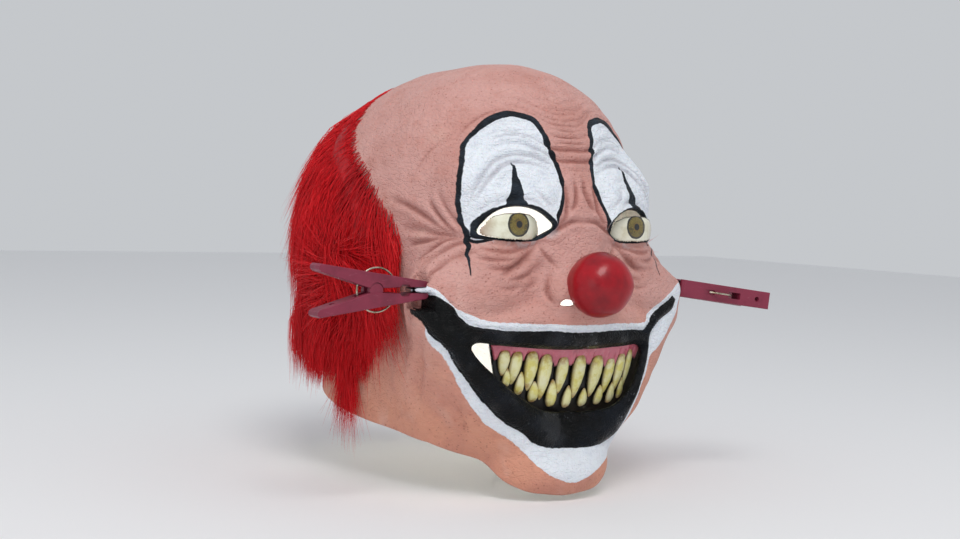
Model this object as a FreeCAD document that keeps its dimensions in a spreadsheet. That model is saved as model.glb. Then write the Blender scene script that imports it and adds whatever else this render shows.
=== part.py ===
"""Latex clown mask with faux-fur hair, held at the mouth corners by two sprung clothes pegs.

Millimetres. +Z is up, the face looks along -Y and +X is the wearer's left. The origin is the
centre of the head cavity at eye level. The latex form is one smooth union of rounded masses.
"""
import FreeCAD, Part
import math
import os

from FreeCAD import Placement, Rotation
from FreeCAD import Vector as V

doc = FreeCAD.newDocument("clown_mask")

# ---------------------------------------------------------------- driving sizes
SIZES = [
    ("SkullWidth", 198, "width of the skull over the temples"),
    ("SkullDepth", 247, "forehead to back of the skull"),
    ("MaskHeight", 280, "crown to chin rim"),
    ("WallThickness", 2.5, "latex wall"),
    ("NoseRadius", 20.5, "red nose ball"),
    ("NoseReach", 134, "nose ball centre in front of the origin"),
    ("NoseDrop", 32, "nose ball centre below the origin"),
    ("NostrilRadius", 4, "nostril hole"),
    ("EyeRadius", 29, "curvature of an eye insert"),
    ("EyeSpacing", 92, "between the eye inserts' centres"),
    ("EyeDepth", 82.5, "eye centre in front of the origin"),
    ("EyeRise", 2, "eye centre above the origin"),
    ("EyeShell", 3, "thickness of an eye insert"),
    ("EyeSlit", 4.5, "see-through slit above an eye insert"),
    ("PanelRadius", 400, "plan radius of the tooth panel at the gum"),
    ("PanelFront", 105, "middle of the tooth panel at the gum, in front of the origin"),
    ("PanelSlope", 0.23, "lean of the tooth panel, run over rise"),
    ("PanelWall", 2.5, "tooth panel thickness"),
    ("PanelHalfWidth", 59, "half width of the tooth panel"),
    ("GumTop", -74, "top edge of the gum"),
    ("GumHeight", 8, "height of the gum band"),
    ("GumProud", 1.8, "gum thickness over the panel"),
    ("UpperTooth", 27, "length of the middle upper teeth"),
    ("LowerTooth", 15, "length of the middle lower teeth"),
    ("ToothPitch", 12.2, "spacing of the middle teeth"),
    ("FurDepth", 26, "fur pile at its fullest"),
    ("FurTop", 95, "top edge of the fur"),
    ("FurBelly", -52, "height where the fur is fullest"),
    ("FurBottom", -112, "lower edge of the fur"),
    ("PegLength", 75, "clothes peg, jaw to tail"),
    ("PegWidth", 12, "clothes peg across"),
    ("PegFulcrum", 36, "jaw tip to fulcrum"),
    ("PegRise", 10.5, "outer face of an arm above the fulcrum"),
    ("PegSlope", 8.25, "lean of an arm's outer face, degrees"),
    ("JawGap", 3.6, "gap between the closed jaws"),
    ("JawWall", 4, "arm thickness at the jaw tip"),
    ("TailWall", 5, "arm thickness at the tail"),
    ("KnobRadius", 4.5, "fulcrum knob"),
    ("KnobPlay", 0.3, "play between the knob and its notch"),
    ("SpringRadius", 13.4, "ring spring, to the wire's centre"),
    ("SpringSetback", 3, "spring centre from the fulcrum, towards the jaw"),
    ("WireRadius", 0.6, "ring spring wire"),
    ("WireSweep", 280, "sweep of the ring spring, degrees"),
    ("SlotWidth", 4.4, "slot for the spring"),
    ("HangHoleRadius", 1.8, "hole near a peg's tail"),
    ("FlapThickness", 3, "latex fold held in a jaw"),
    ("FlapDepth", 10, "how far a jaw reaches over its fold"),
    ("RightJawReach", 98, "right jaw tip from the mid plane"),
    ("LeftJawReach", 109, "left jaw tip from the mid plane"),
    ("JawForward", 84, "jaws in front of the origin"),
    ("JawDrop", 38, "jaws below the origin"),
    ("LeftPegDroop", 7, "downward tilt of the left peg, degrees"),
    ("RightPegDroop", 0, "downward tilt of the right peg, degrees"),
    ("JawRelief", 1, "room between a jaw and the latex beside it"),
    ("JawSwing", 10, "further room on the side a squeezed jaw swings to"),
]
sheet = doc.addObject("Spreadsheet::Sheet", "Sizes")
for row, (alias, value, note) in enumerate(SIZES, start=1):
    sheet.set(f"A{row}", note)
    sheet.set(f"B{row}", str(value))
    sheet.setAlias(f"B{row}", alias)
doc.recompute()


def size(alias):
    return float(sheet.get(alias))


# ---------------------------------------------------------------- the latex form
# The face is sculpted at these nominal sizes and stretched to the sheet's.
NOMINAL_WIDTH, NOMINAL_DEPTH, NOMINAL_HEIGHT = 198.0, 247.0, 280.0
STRETCH = (
    size("SkullWidth") / NOMINAL_WIDTH,
    size("SkullDepth") / NOMINAL_DEPTH,
    size("MaskHeight") / NOMINAL_HEIGHT,
)
MEAN_STRETCH = sum(STRETCH) / 3

# Balls: centre, radii, how softly they melt into the masses before them.
SKULL = ((0, 13, 19), (99, 118, 90), 0)
FOREHEAD = ((0, -32, 34), (82, 62, 72), 20)
BROW = ((35, -61, -1), (45, 52, 41), 20)
CHEEK = ((46, -57, -34), (43, 46, 37), 16)
MUZZLE = ((0, -58, -84), (76, 52, 56), 16)
JAW_FILL = ((56, -50, -88), (33, 40, 60), 20)
UPPER_LIP = ((0, -84, -57), (64, 37, 21), 20)
CHIN = ((0, -89, -152), (41, 28, 18), 12)
EYE_HOLLOW = ((46, -122, -6), (26, 17, 9), 8)
# Bars: two ends, a radius at each, softness.
MOUTH_CORNER = ((60, -78, -39), (103, -83, -37), 20, 4, 30)
JOWL = ((85, -84, -56), (24, -92, -138), 15, 15, 30)
NOSE_BRIDGE = ((0, -95, 24), (0, -105, -36), 11, 24, 16)
BROW_RIDGE = ((21, -94, 18), (58, -77, 27), 4, 17, 18)
# Neck: centre behind the origin, half width, half depth, top, softness.
NECK = (24, 91, 111, 10, 30)


def ball_distance(x, y, z, centre, radii):
    dx, dy, dz = x - centre[0], y - centre[1], z - centre[2]
    a, b, c = radii
    near = math.sqrt((dx / a) ** 2 + (dy / b) ** 2 + (dz / c) ** 2)
    steep = math.sqrt((dx / a**2) ** 2 + (dy / b**2) ** 2 + (dz / c**2) ** 2)
    return near * (near - 1) / (steep + 1e-9)


def bar_distance(x, y, z, start, end, start_radius, end_radius):
    along = [e - s for s, e in zip(start, end)]
    offset = (x - start[0], y - start[1], z - start[2])
    t = sum(o * a for o, a in zip(offset, along)) / sum(a * a for a in along)
    t = min(max(t, 0), 1)
    gap = math.sqrt(sum((o - t * a) ** 2 for o, a in zip(offset, along)))
    return gap - start_radius - (end_radius - start_radius) * t


def melt(a, b, softness):
    """The smaller distance, rounded where the two are close."""
    h = min(max(0.5 + 0.5 * (b - a) / softness, 0), 1)
    return b + (a - b) * h - softness * h * (1 - h)


def neck_distance(x, y, z):
    back, half_width, half_depth, top, softness = NECK
    around = (math.hypot(x / half_width, (y - back) / half_depth) - 1) * half_width
    return -melt(-around, -(z - top), softness)


def head_distance(x, y, z):
    """Signed distance to the outside of the latex, negative inside, at nominal size."""
    side = abs(x)
    d = ball_distance(x, y, z, *SKULL[:2])
    d = melt(d, ball_distance(x, y, z, *FOREHEAD[:2]), FOREHEAD[2])
    d = melt(d, neck_distance(x, y, z), NECK[4])
    for mass in (BROW, CHEEK):
        d = melt(d, ball_distance(side, y, z, *mass[:2]), mass[2])
    d = melt(d, bar_distance(side, y, z, *MOUTH_CORNER[:4]), MOUTH_CORNER[4])
    for mass in (MUZZLE, JAW_FILL, UPPER_LIP):
        d = melt(d, ball_distance(side, y, z, *mass[:2]), mass[2])
    d = melt(d, bar_distance(side, y, z, *JOWL[:4]), JOWL[4])
    d = melt(d, ball_distance(x, y, z, *CHIN[:2]), CHIN[2])
    d = melt(d, bar_distance(x, y, z, *NOSE_BRIDGE[:4]), NOSE_BRIDGE[4])
    d = melt(d, bar_distance(side, y, z, *BROW_RIDGE[:4]), BROW_RIDGE[4])
    hollow = ball_distance(side, y, z, *EYE_HOLLOW[:2])
    return -melt(-d, hollow, EYE_HOLLOW[2])


SECTION_POINTS = 60
MARCH_START = 190
MARCH_STEPS = 70


def section_wire(z, offset):
    """Closed spline round the form at one height; offset is outwards, in mm."""
    level = offset / MEAN_STRETCH
    points = []
    for i in range(SECTION_POINTS):
        angle = 2 * math.pi * i / SECTION_POINTS
        ahead, aside = -math.cos(angle), math.sin(angle)
        reach = MARCH_START
        for _ in range(MARCH_STEPS):
            gap = head_distance(reach * aside, reach * ahead, z) - level
            reach -= 0.85 * gap
            if abs(gap) < 0.01:
                break
        points.append(V(reach * aside * STRETCH[0], reach * ahead * STRETCH[1], z * STRETCH[2]))
    # Every section has the same knots, so the loft's surface stays light.
    knots = [i / SECTION_POINTS for i in range(SECTION_POINTS + 1)]
    curve = Part.BSplineCurve()
    curve.interpolate(Points=points, PeriodicFlag=True, Parameters=knots)
    return Part.Wire(curve.toShape())


FORM_BOTTOM = -180
SECTION_STEP = 7


def form_heights(top):
    """Even heights up the face, closing up towards the crown."""
    crown = [top - 19, top - 11, top - 5, top - 1.6, top]
    count = int((crown[0] - FORM_BOTTOM) / SECTION_STEP)
    step = (crown[0] - FORM_BOTTOM) / count
    return [FORM_BOTTOM + step * i for i in range(count)] + crown


CROWN_TOP = 109.4
wall = size("WallThickness")
outer_form = Part.makeLoft([section_wire(z, 0) for z in form_heights(CROWN_TOP)], True)
inner_top = CROWN_TOP - wall / STRETCH[2]
inner_form = Part.makeLoft([section_wire(z, -wall) for z in form_heights(inner_top)], True)


def at(x, y, z):
    """A place on the nominal sculpture, on the stretched one."""
    return V(x * STRETCH[0], y * STRETCH[1], z * STRETCH[2])


def front_prism(outline, near, far):
    """Extrude a closed (x, z) outline along Y between two nominal depths."""
    points = [at(x, near, z) for x, z in outline]
    curve = Part.BSplineCurve()
    curve.interpolate(Points=points, PeriodicFlag=True)
    face = Part.Face(Part.Wire(curve.toShape()))
    return face.extrude(V(0, (far - near) * STRETCH[1], 0))


def mirrored(outline):
    return [(-x, z) for x, z in outline]


# ---------------------------------------------------------------- neckline
# Side profile of the neckline: nape, where it starts to fall, under the jaw, chin.
NAPE = (210, -120)
FALL_START = (-58, -138)
JAW_BEND = (-86, -151)
CHIN_EDGE = (-113, -172)
BELOW_ALL = -230


def neckline_tool():
    half = 200
    nape, fall, bend, chin = [at(-half, y, z) for y, z in (NAPE, FALL_START, JAW_BEND, CHIN_EDGE)]
    low_front, low_back = at(-half, CHIN_EDGE[0] - 60, BELOW_ALL), at(-half, NAPE[0], BELOW_ALL)
    front = at(-half, CHIN_EDGE[0] - 60, CHIN_EDGE[1])
    edges = [
        Part.LineSegment(nape, fall).toShape(),
        Part.Arc(fall, bend, chin).toShape(),
        Part.LineSegment(chin, front).toShape(),
        Part.LineSegment(front, low_front).toShape(),
        Part.LineSegment(low_front, low_back).toShape(),
        Part.LineSegment(low_back, nape).toShape(),
    ]
    return Part.Face(Part.Wire(edges)).extrude(V(2 * half * STRETCH[0], 0, 0))


# ---------------------------------------------------------------- eye, mouth and nostril openings
EYE_OUTLINE = [
    (22, 3), (28, 10), (36, 14), (46, 15.5), (56, 13.5), (64, 7.5),
    (69, -3), (60, -6.5), (46, -7.5), (32, -6),
]
# The mouth runs further round on the right, so its outline is given whole, as (x, z).
MOUTH_OUTLINE = [
    (0, -75), (-20, -74.5), (-40, -73), (-58, -71), (-71, -69.5), (-75, -73), (-69, -81),
    (-57, -91), (-40, -103.5), (-20, -113.5), (0, -116.5), (20, -116), (35, -113.5), (46, -107),
    (53.5, -97), (57.5, -85), (58, -77), (53, -73.5), (40, -74.5), (20, -75),
]
NOSTRIL = (17, -44)


def nostril_tool(side):
    start = at(side * NOSTRIL[0], -145, NOSTRIL[1])
    return Part.makeCylinder(size("NostrilRadius"), 45 * STRETCH[1], start, V(0, 1, 0))


# ---------------------------------------------------------------- folds held by the pegs
def box(low, high):
    return Part.makeBox(high.x - low.x, high.y - low.y, high.z - low.z, low)


jaw_side = {-1: size("RightJawReach"), 1: size("LeftJawReach")}
jaw_y, jaw_z = -size("JawForward"), -size("JawDrop")
jaw_half_height = size("JawGap") / 2 + size("JawWall") + 2.5
half_peg = size("PegWidth") / 2
relief = size("JawRelief")
BEYOND_JAWS = 150


def jaw_relief(side):
    """Room for both jaws beside the fold. The right arms lie above and below, the left before
    and behind, and the upper and front ones swing open."""
    across, upward = (half_peg, jaw_half_height) if side < 0 else (jaw_half_height, half_peg)
    ahead = size("JawSwing") if side > 0 else 0
    above = size("JawSwing") if side < 0 else 0
    ends = sorted((side * (jaw_side[side] - relief), side * BEYOND_JAWS))
    low = V(ends[0], jaw_y - across - relief - ahead, jaw_z - upward - relief)
    high = V(ends[1], jaw_y + across + relief, jaw_z + upward + relief + above)
    return box(low, high)


FOLD_ROOT = 18
FOLD_SPREAD = 30


def fold(side):
    """Latex pinched flat: the web left across the hollow corner, and the tongue in the jaws."""
    half = size("FlapThickness") / 2
    root, jaw = jaw_side[side] - FOLD_ROOT, jaw_side[side]
    pieces = []
    for reach, outer in ((FOLD_SPREAD, jaw - relief), (half_peg - 1, jaw + size("FlapDepth"))):
        across, upward = (reach, half) if side < 0 else (half, reach)
        ends = sorted((side * root, side * outer))
        low = V(ends[0], jaw_y - across, jaw_z - upward)
        pieces.append(box(low, V(ends[1], jaw_y + across, jaw_z + upward)))
    return pieces


def part_feature(label, shape):
    feature = doc.addObject("Part::Feature", label)
    feature.Label = label
    feature.Shape = shape
    return feature


def mask_skin():
    (right_web, right_tongue), (left_web, left_tongue) = fold(-1), fold(1)
    hollow = inner_form.cut([right_web, left_web])
    shell = outer_form.cut([neckline_tool(), hollow])
    cuts = [front_prism(MOUTH_OUTLINE, -165, -80)]
    for side in (-1, 1):
        outline = EYE_OUTLINE if side > 0 else mirrored(EYE_OUTLINE)
        cuts += [front_prism(outline, -160, -70), nostril_tool(side), jaw_relief(side)]
    return shell.cut(cuts).fuse([right_tongue, left_tongue]).removeSplitter()


skin = part_feature("mask_skin", mask_skin())

# ---------------------------------------------------------------- nose ball
form_tool = part_feature("form_tool", outer_form)
ball = doc.addObject("Part::Sphere", "nose_sphere")
ball.setExpression("Radius", "Sizes.NoseRadius")
ball.setExpression("Placement.Base.y", f"-Sizes.NoseReach * Sizes.SkullDepth / {NOMINAL_DEPTH}")
ball.setExpression("Placement.Base.z", f"-Sizes.NoseDrop * Sizes.MaskHeight / {NOMINAL_HEIGHT}")
nose = doc.addObject("Part::Cut", "nose_ball")
nose.Label = "nose_ball"
nose.Base = ball
nose.Tool = form_tool


# ---------------------------------------------------------------- eye inserts
def eye_insert(side):
    """Curved shell that fills the eye opening up to a slit under the upper lid."""
    centre = at(side * size("EyeSpacing") / 2, -size("EyeDepth"), size("EyeRise"))
    dome = Part.makeSphere(size("EyeRadius"), centre)
    dome = dome.cut(Part.makeSphere(size("EyeRadius") - size("EyeShell"), centre))
    outline = [(side * x, z) for x, z in EYE_OUTLINE]
    lens = dome.common(front_prism(outline, -140, -86))
    lid = front_prism([(x, z - size("EyeSlit") / STRETCH[2]) for x, z in outline], -140, -86)
    low = box(at(-90, -140, -12), at(90, -86, EYE_OUTLINE[0][1] - 6))
    return lens.common(lid.fuse(low))


right_eye = part_feature("right_eye", eye_insert(-1))
left_eye = part_feature("left_eye", eye_insert(1))

# ---------------------------------------------------------------- tooth panel, gum and teeth
PANEL_TOP, PANEL_LOW = -69.5, -126
panel_axis_y = size("PanelRadius") - size("PanelFront")


def panel_radius(z, proud=0):
    return size("PanelRadius") + size("PanelSlope") * (z - size("GumTop")) + proud


def panel_cone(low, high, proud=0):
    base = V(0, panel_axis_y, low)
    return Part.makeCone(panel_radius(low, proud), panel_radius(high, proud), high - low, base)


def front_slab(low, high, half_width):
    return box(V(-half_width, -150, low), V(half_width, -55, high))


def tooth_panel():
    core = panel_cone(PANEL_LOW - 5, PANEL_TOP + 5, -size("PanelWall"))
    sheet_piece = panel_cone(PANEL_LOW, PANEL_TOP).cut(core)
    sheet_piece = sheet_piece.common(front_slab(PANEL_LOW, PANEL_TOP, size("PanelHalfWidth")))
    shelves = [
        front_slab(PANEL_TOP - size("PanelWall"), PANEL_TOP, size("PanelHalfWidth")),
        front_slab(PANEL_LOW, PANEL_LOW + size("PanelWall"), size("PanelHalfWidth") - 17),
    ]
    shelves = [shelf.cut(core) for shelf in shelves]
    return sheet_piece.fuse(shelves).common(inner_form).removeSplitter()


def upper_gum():
    top, low = size("GumTop"), size("GumTop") - size("GumHeight")
    band = panel_cone(low, top, size("GumProud")).cut(panel_cone(low - 1, top + 1))
    return band.common(front_slab(low, top, size("PanelHalfWidth") - 3)).common(inner_form)


panel = tooth_panel()
gum = upper_gum()
part_feature("tooth_panel", panel)
part_feature("upper_gum", gum)

# Each tooth: place along the arc, height of its root, length, width. The rows are uneven.
UPPER_TEETH = [
    (-48.5, -76, 15.5, 8), (-39.2, -77, 20.5, 8.5), (-28.2, -77, 25, 9.5), (-17.2, -79, 29.5, 10),
    (-3.5, -81, 24, 9), (10.2, -80.5, 28, 10), (25, -81, 27.5, 10.5), (37, -83, 24, 8.5),
    (46.5, -80.5, 26, 8), (54, -78, 26, 5.5),
]
LOWER_TEETH = [
    (-43.8, -99, 12.5, 5.5), (-34, -104.5, 15.5, 6.5), (-22.5, -109.5, 14, 7.5), (-8, -113.3, 18.5, 8),
    (4.5, -114.5, 15, 7), (17.8, -114.5, 12.5, 7), (31, -114, 13.5, 7), (41.6, -113.5, 14.5, 6.5),
    (50.4, -111, 15, 5),
]
NOMINAL_PITCH, NOMINAL_UPPER, NOMINAL_LOWER = 12.2, 27.0, 15.0


def tooth(along, root, tip, width):
    """A pointed tooth on the panel: ellipses swelling from the root and closing at the tip."""
    rings = []
    for part, girth in ((0, 0.62), (0.25, 0.95), (0.5, 1.0), (0.78, 0.68), (0.95, 0.28), (1, 0.08)):
        z = root + (tip - root) * part
        radius = panel_radius(z)
        turn = along / radius
        centre = V(radius * math.sin(turn), panel_axis_y - radius * math.cos(turn), z)
        ring = Part.Wire(Part.Ellipse(V(0, 0, 0), width / 2 * girth, width * 0.38 * girth).toShape())
        ring.Placement = Placement(centre, Rotation(V(0, 0, 1), math.degrees(turn)))
        rings.append(ring)
    body = Part.makeLoft(rings, True)
    return body.cut([panel_cone(PANEL_LOW, PANEL_TOP), gum])


def tooth_row(teeth, stretch):
    """A row that points down where stretch is negative and up where it is positive."""
    spread = size("ToothPitch") / NOMINAL_PITCH
    row = []
    for place, root, length, width in teeth:
        row.append(tooth(place * spread, root, root + length * stretch, width * spread))
    return Part.makeCompound(row)


upper_row = tooth_row(UPPER_TEETH, -size("UpperTooth") / NOMINAL_UPPER)
lower_row = tooth_row(LOWER_TEETH, size("LowerTooth") / NOMINAL_LOWER).cut(upper_row)
part_feature("upper_teeth", upper_row)
part_feature("lower_teeth", lower_row)

# ---------------------------------------------------------------- fur
# Side profile of the fur's front edge, from the lower edge up over the temple.
FUR_EDGE = [
    (7, -112), (1, -98), (-11, -70), (-18, -50), (-29, -33), (-38, -18), (-36, -6),
    (-30, 9), (-14, 28), (6, 48), (24, 66), (36, 82), (48, 95),
]
BACK_HALF_WIDTH = 52


def fur_pile(z):
    """Thickness of the pile at one nominal height."""
    top, belly, low = size("FurTop"), size("FurBelly"), size("FurBottom")
    if z > belly:
        return size("FurDepth") * (0.25 + 0.75 * (top - z) / (top - belly))
    return size("FurDepth") * (1 - 0.85 * ((belly - z) / (belly - low)) ** 2)


def fur_region():
    top, low = size("FurTop"), size("FurBottom")
    edge = [at(-220, y, low + (z - FUR_EDGE[0][1]) * (top - low) / 207) for y, z in FUR_EDGE]
    curve = Part.BSplineCurve()
    curve.interpolate(edge)
    back_top, back_low = at(-220, 220, top - 15), at(-220, 220, low)
    sides = [
        Part.LineSegment(edge[-1], back_top).toShape(),
        Part.LineSegment(back_top, back_low).toShape(),
        Part.LineSegment(back_low, edge[0]).toShape(),
    ]
    return Part.Face(Part.Wire([curve.toShape()] + sides)).extrude(V(440 * STRETCH[0], 0, 0))


def fur_coat():
    top, low = size("FurTop"), size("FurBottom")
    count = 18
    heights = [low - 3 + (top - low + 6) * i / count for i in range(count + 1)]
    coat = Part.makeLoft([section_wire(z, fur_pile(z)) for z in heights], True)
    return coat.common(fur_region()).cut(outer_form)


coat = fur_coat()
half_back = BACK_HALF_WIDTH * STRETCH[0]
FUR_PIECES = {
    "fur_right": (-260, -half_back),
    "fur_back": (-half_back, half_back),
    "fur_left": (half_back, 260),
}
for label, (low_x, high_x) in FUR_PIECES.items():
    piece = coat.common(box(V(low_x, -120, -260), V(high_x, 260, 260)))
    if label == "fur_back":
        piece = piece.common(box(V(low_x, 20, -260), V(high_x, 260, 260)))
    part_feature(label, piece)


# ---------------------------------------------------------------- clothes pegs
def plane(body, role):
    return next(f for f in body.Origin.OriginFeatures if f.Role == role)


def new_sketch(body, name, role, lift="0"):
    sketch = body.newObject("Sketcher::SketchObject", name)
    sketch.AttachmentSupport = [(plane(body, role), "")]
    sketch.MapMode = "FlatFace"
    sketch.setExpression("AttachmentOffset.Base.z", lift)
    return sketch


def closed_lines(sketch, points):
    for start, end in zip(points, points[1:] + points[:1]):
        sketch.addGeometry(Part.LineSegment(V(*start, 0), V(*end, 0)), False)


def arm_profile():
    """Side of an arm that lies above the fulcrum, jaw tip at zero, as (along, up) points."""
    slope = math.tan(math.radians(size("PegSlope")))
    fulcrum, rise, length = size("PegFulcrum"), size("PegRise"), size("PegLength")
    outer_jaw = rise - fulcrum * slope
    outer_tail = rise + (length - fulcrum) * slope
    inner = size("JawGap") / 2
    cord_recess = 0.45 * fulcrum
    return [
        (0, inner + 0.6),
        (0.8, inner),
        (cord_recess - 4, inner),
        (cord_recess - 2.4, inner + 1.8),
        (cord_recess + 2.4, inner + 1.8),
        (cord_recess + 4, inner),
        (fulcrum - 6, inner - 0.4),
        (fulcrum + 5, inner - 0.2),
        (length - 1.5, outer_tail - size("TailWall")),
        (length, outer_tail - size("TailWall") + 1.5),
        (length, outer_tail - 1.5),
        (length - 1.5, outer_tail - 0.2),
        (1.5, outer_jaw + 0.2),
        (0, outer_jaw - 1.2),
    ]


def rounded_slot(sketch, low, high, half):
    closed_lines(sketch, [(low, -half), (high, -half), (high, half), (low, half)])


def cut_through(body, sketch, name, reach=None, backwards=False):
    pocket = body.newObject("PartDesign::Pocket", name)
    pocket.Profile = sketch
    pocket.Type = 1
    if reach == "both":
        pocket.Midplane = True
    pocket.Reversed = backwards
    return pocket


def peg_arm(label, with_knob):
    """One arm of a peg in its own frame: X along it, Y across it, Z away from the other arm."""
    body = doc.addObject("PartDesign::Body", label)
    body.Label = label
    side = new_sketch(body, f"{label}_side", "XZ_Plane")
    closed_lines(side, arm_profile())
    doc.recompute()
    pad = body.newObject("PartDesign::Pad", f"{label}_pad")
    pad.Profile = side
    pad.Midplane = True
    pad.setExpression("Length", "Sizes.PegWidth")
    doc.recompute()
    rims = []
    for index, edge in enumerate(pad.Shape.Edges, start=1):
        across = edge.BoundBox.YLength
        if across < 0.01 and edge.Length > 8:
            rims.append(f"Edge{index}")
    fillet = body.newObject("PartDesign::Fillet", f"{label}_round")
    fillet.Base = (pad, rims)
    fillet.Radius = 0.7
    doc.recompute()
    hub = new_sketch(body, f"{label}_hub", "XZ_Plane")
    radius = size("KnobRadius") + (0 if with_knob else size("KnobPlay"))
    hub.addGeometry(Part.Circle(V(size("PegFulcrum"), 0, 0), V(0, 0, 1), radius), False)
    doc.recompute()
    if with_knob:
        knob = body.newObject("PartDesign::Pad", f"{label}_knob")
        knob.Profile = hub
        knob.Midplane = True
        knob.setExpression("Length", "Sizes.PegWidth - 1")
    else:
        cut_through(body, hub, f"{label}_notch", "both")
    doc.recompute()
    fulcrum = size("PegFulcrum")
    slot = new_sketch(body, f"{label}_slots", "XY_Plane")
    slot_start = fulcrum - size("SpringSetback") + size("SpringRadius") * 0.42
    slot_end = fulcrum - size("SpringSetback") + size("SpringRadius") + 2.2
    half_slot = size("SlotWidth") / 2
    rounded_slot(slot, slot_start, slot_end, half_slot)
    hole_at = V(size("PegLength") - 12, 0, 0)
    slot.addGeometry(Part.Circle(hole_at, V(0, 0, 1), size("HangHoleRadius")), False)
    doc.recompute()
    cut_through(body, slot, f"{label}_through", "both")
    doc.recompute()
    channel = new_sketch(body, f"{label}_channel", "XY_Plane", "Sizes.PegRise - 2.6")
    rounded_slot(channel, fulcrum - 19, fulcrum - 9, 1.6)
    closed_lines(channel, [(5, -3.6), (12.5, -3.6), (12.5, 3.6), (5, 3.6)])
    doc.recompute()
    before = body.Shape.Volume
    cut_through(body, channel, f"{label}_pockets", backwards=True)
    doc.recompute()
    if body.Shape.Volume >= before - 1:
        raise RuntimeError(f"{label}: the outer pockets cut nothing")
    return body


def peg_placement(side):
    """Jaw tip at the mouth corner; right arms above and below, left arms before and behind."""
    tip = V(side * jaw_side[side], jaw_y, jaw_z)
    droop = size("LeftPegDroop") if side > 0 else size("RightPegDroop")
    if side < 0:
        turn = Rotation(V(0, 1, 0), -droop).multiply(Rotation(V(0, 0, 1), 180))
    else:
        turn = Rotation(V(0, 1, 0), droop).multiply(Rotation(V(1, 0, 0), 90))
    return Placement(tip, turn)


HALF_TURN = Placement(V(0, 0, 0), Rotation(V(1, 0, 0), 180))


def peg(side, knob_label, notch_label, spring_label):
    """Both arms and the ring spring. The knob arm is turned over to face the notched one."""
    place = peg_placement(side)
    notch_arm = peg_arm(notch_label, False)
    knob_arm = peg_arm(knob_label, True)
    notch_arm.Placement = place
    knob_arm.Placement = place.multiply(HALF_TURN)
    spring = doc.addObject("Part::Torus", spring_label)
    spring.Label = spring_label
    spring.setExpression("Radius1", "Sizes.SpringRadius")
    spring.setExpression("Radius2", "Sizes.WireRadius")
    spring.setExpression("Angle3", "Sizes.WireSweep")
    centre = V(size("PegFulcrum") - size("SpringSetback"), 0, 0)
    lay = Rotation(V(1, 0, 0), 90).multiply(Rotation(V(0, 0, 1), -size("WireSweep") / 2))
    spring.Placement = place.multiply(Placement(centre, lay))
    return [notch_arm, knob_arm, spring]


peg(-1, "right_peg_lower_arm", "right_peg_upper_arm", "right_peg_spring")
peg(1, "left_peg_rear_arm", "left_peg_front_arm", "left_peg_spring")

# ---------------------------------------------------------------- check and write
NODES = [
    "mask_skin", "nose_ball", "right_eye", "left_eye", "tooth_panel", "upper_gum", "upper_teeth",
    "lower_teeth", "fur_right", "fur_back", "fur_left", "right_peg_upper_arm",
    "right_peg_lower_arm", "right_peg_spring", "left_peg_front_arm", "left_peg_rear_arm",
    "left_peg_spring",
]
doc.recompute()
for item in doc.Objects:
    if "Invalid" in item.State or "Error" in item.State:
        raise RuntimeError(f"{item.Label} did not build: {item.State}")
os.makedirs("parts", exist_ok=True)
for label in NODES:
    shape = doc.getObjectsByLabel(label)[0].Shape
    if shape.isNull() or not shape.isValid() or shape.Volume < 1:
        raise RuntimeError(f"{label} has no valid solid")
    print(label, len(shape.Solids), round(shape.Volume), [round(v, 1) for v in (
        shape.BoundBox.XMin, shape.BoundBox.XMax, shape.BoundBox.YMin, shape.BoundBox.YMax,
        shape.BoundBox.ZMin, shape.BoundBox.ZMax)])
for label in NODES:
    doc.getObjectsByLabel(label)[0].Shape.exportStep(f"parts/{label}.step")
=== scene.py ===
import math

import bpy
import numpy as np
from mathutils import Matrix, Vector


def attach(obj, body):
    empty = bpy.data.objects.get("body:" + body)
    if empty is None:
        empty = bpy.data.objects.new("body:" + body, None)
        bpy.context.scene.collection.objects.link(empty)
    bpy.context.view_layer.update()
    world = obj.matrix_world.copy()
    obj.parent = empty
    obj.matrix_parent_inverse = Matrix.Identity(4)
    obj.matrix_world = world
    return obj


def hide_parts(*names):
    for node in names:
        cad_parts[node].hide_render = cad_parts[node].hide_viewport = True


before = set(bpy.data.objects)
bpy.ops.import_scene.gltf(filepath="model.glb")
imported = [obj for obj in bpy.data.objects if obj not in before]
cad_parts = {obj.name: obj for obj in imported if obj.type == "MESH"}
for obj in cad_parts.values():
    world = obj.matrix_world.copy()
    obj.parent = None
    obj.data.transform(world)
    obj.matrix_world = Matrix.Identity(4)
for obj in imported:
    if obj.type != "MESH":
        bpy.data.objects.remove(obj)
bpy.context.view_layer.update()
MM = 0.001
rng = np.random.default_rng(11)


# ------------------------------------------------------------------ the latex form, in millimetres
def melt(a, b, soft):
    h = np.clip(0.5 + 0.5 * (b - a) / soft, 0, 1)
    return b + (a - b) * h - soft * h * (1 - h)


def ball(p, centre, radii):
    q = p - np.array(centre, float)
    r = np.array(radii, float)
    near = np.linalg.norm(q / r, axis=-1)
    steep = np.linalg.norm(q / r**2, axis=-1)
    return near * (near - 1) / (steep + 1e-9)


def bar(p, start, end, start_radius, end_radius):
    a, ab = np.array(start, float), np.subtract(end, start).astype(float)
    t = np.clip((p - a) @ ab / (ab @ ab), 0, 1)
    gap = np.linalg.norm(p - a - t[..., None] * ab, axis=-1)
    return gap - start_radius - (end_radius - start_radius) * t


def block(p, low, high):
    """Signed distance to a box."""
    low, high = np.array(low, float), np.array(high, float)
    q = np.abs(p - (low + high) / 2) - (high - low) / 2
    outside = np.linalg.norm(np.maximum(q, 0), axis=-1)
    return outside + np.minimum(q.max(axis=-1), 0)


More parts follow.
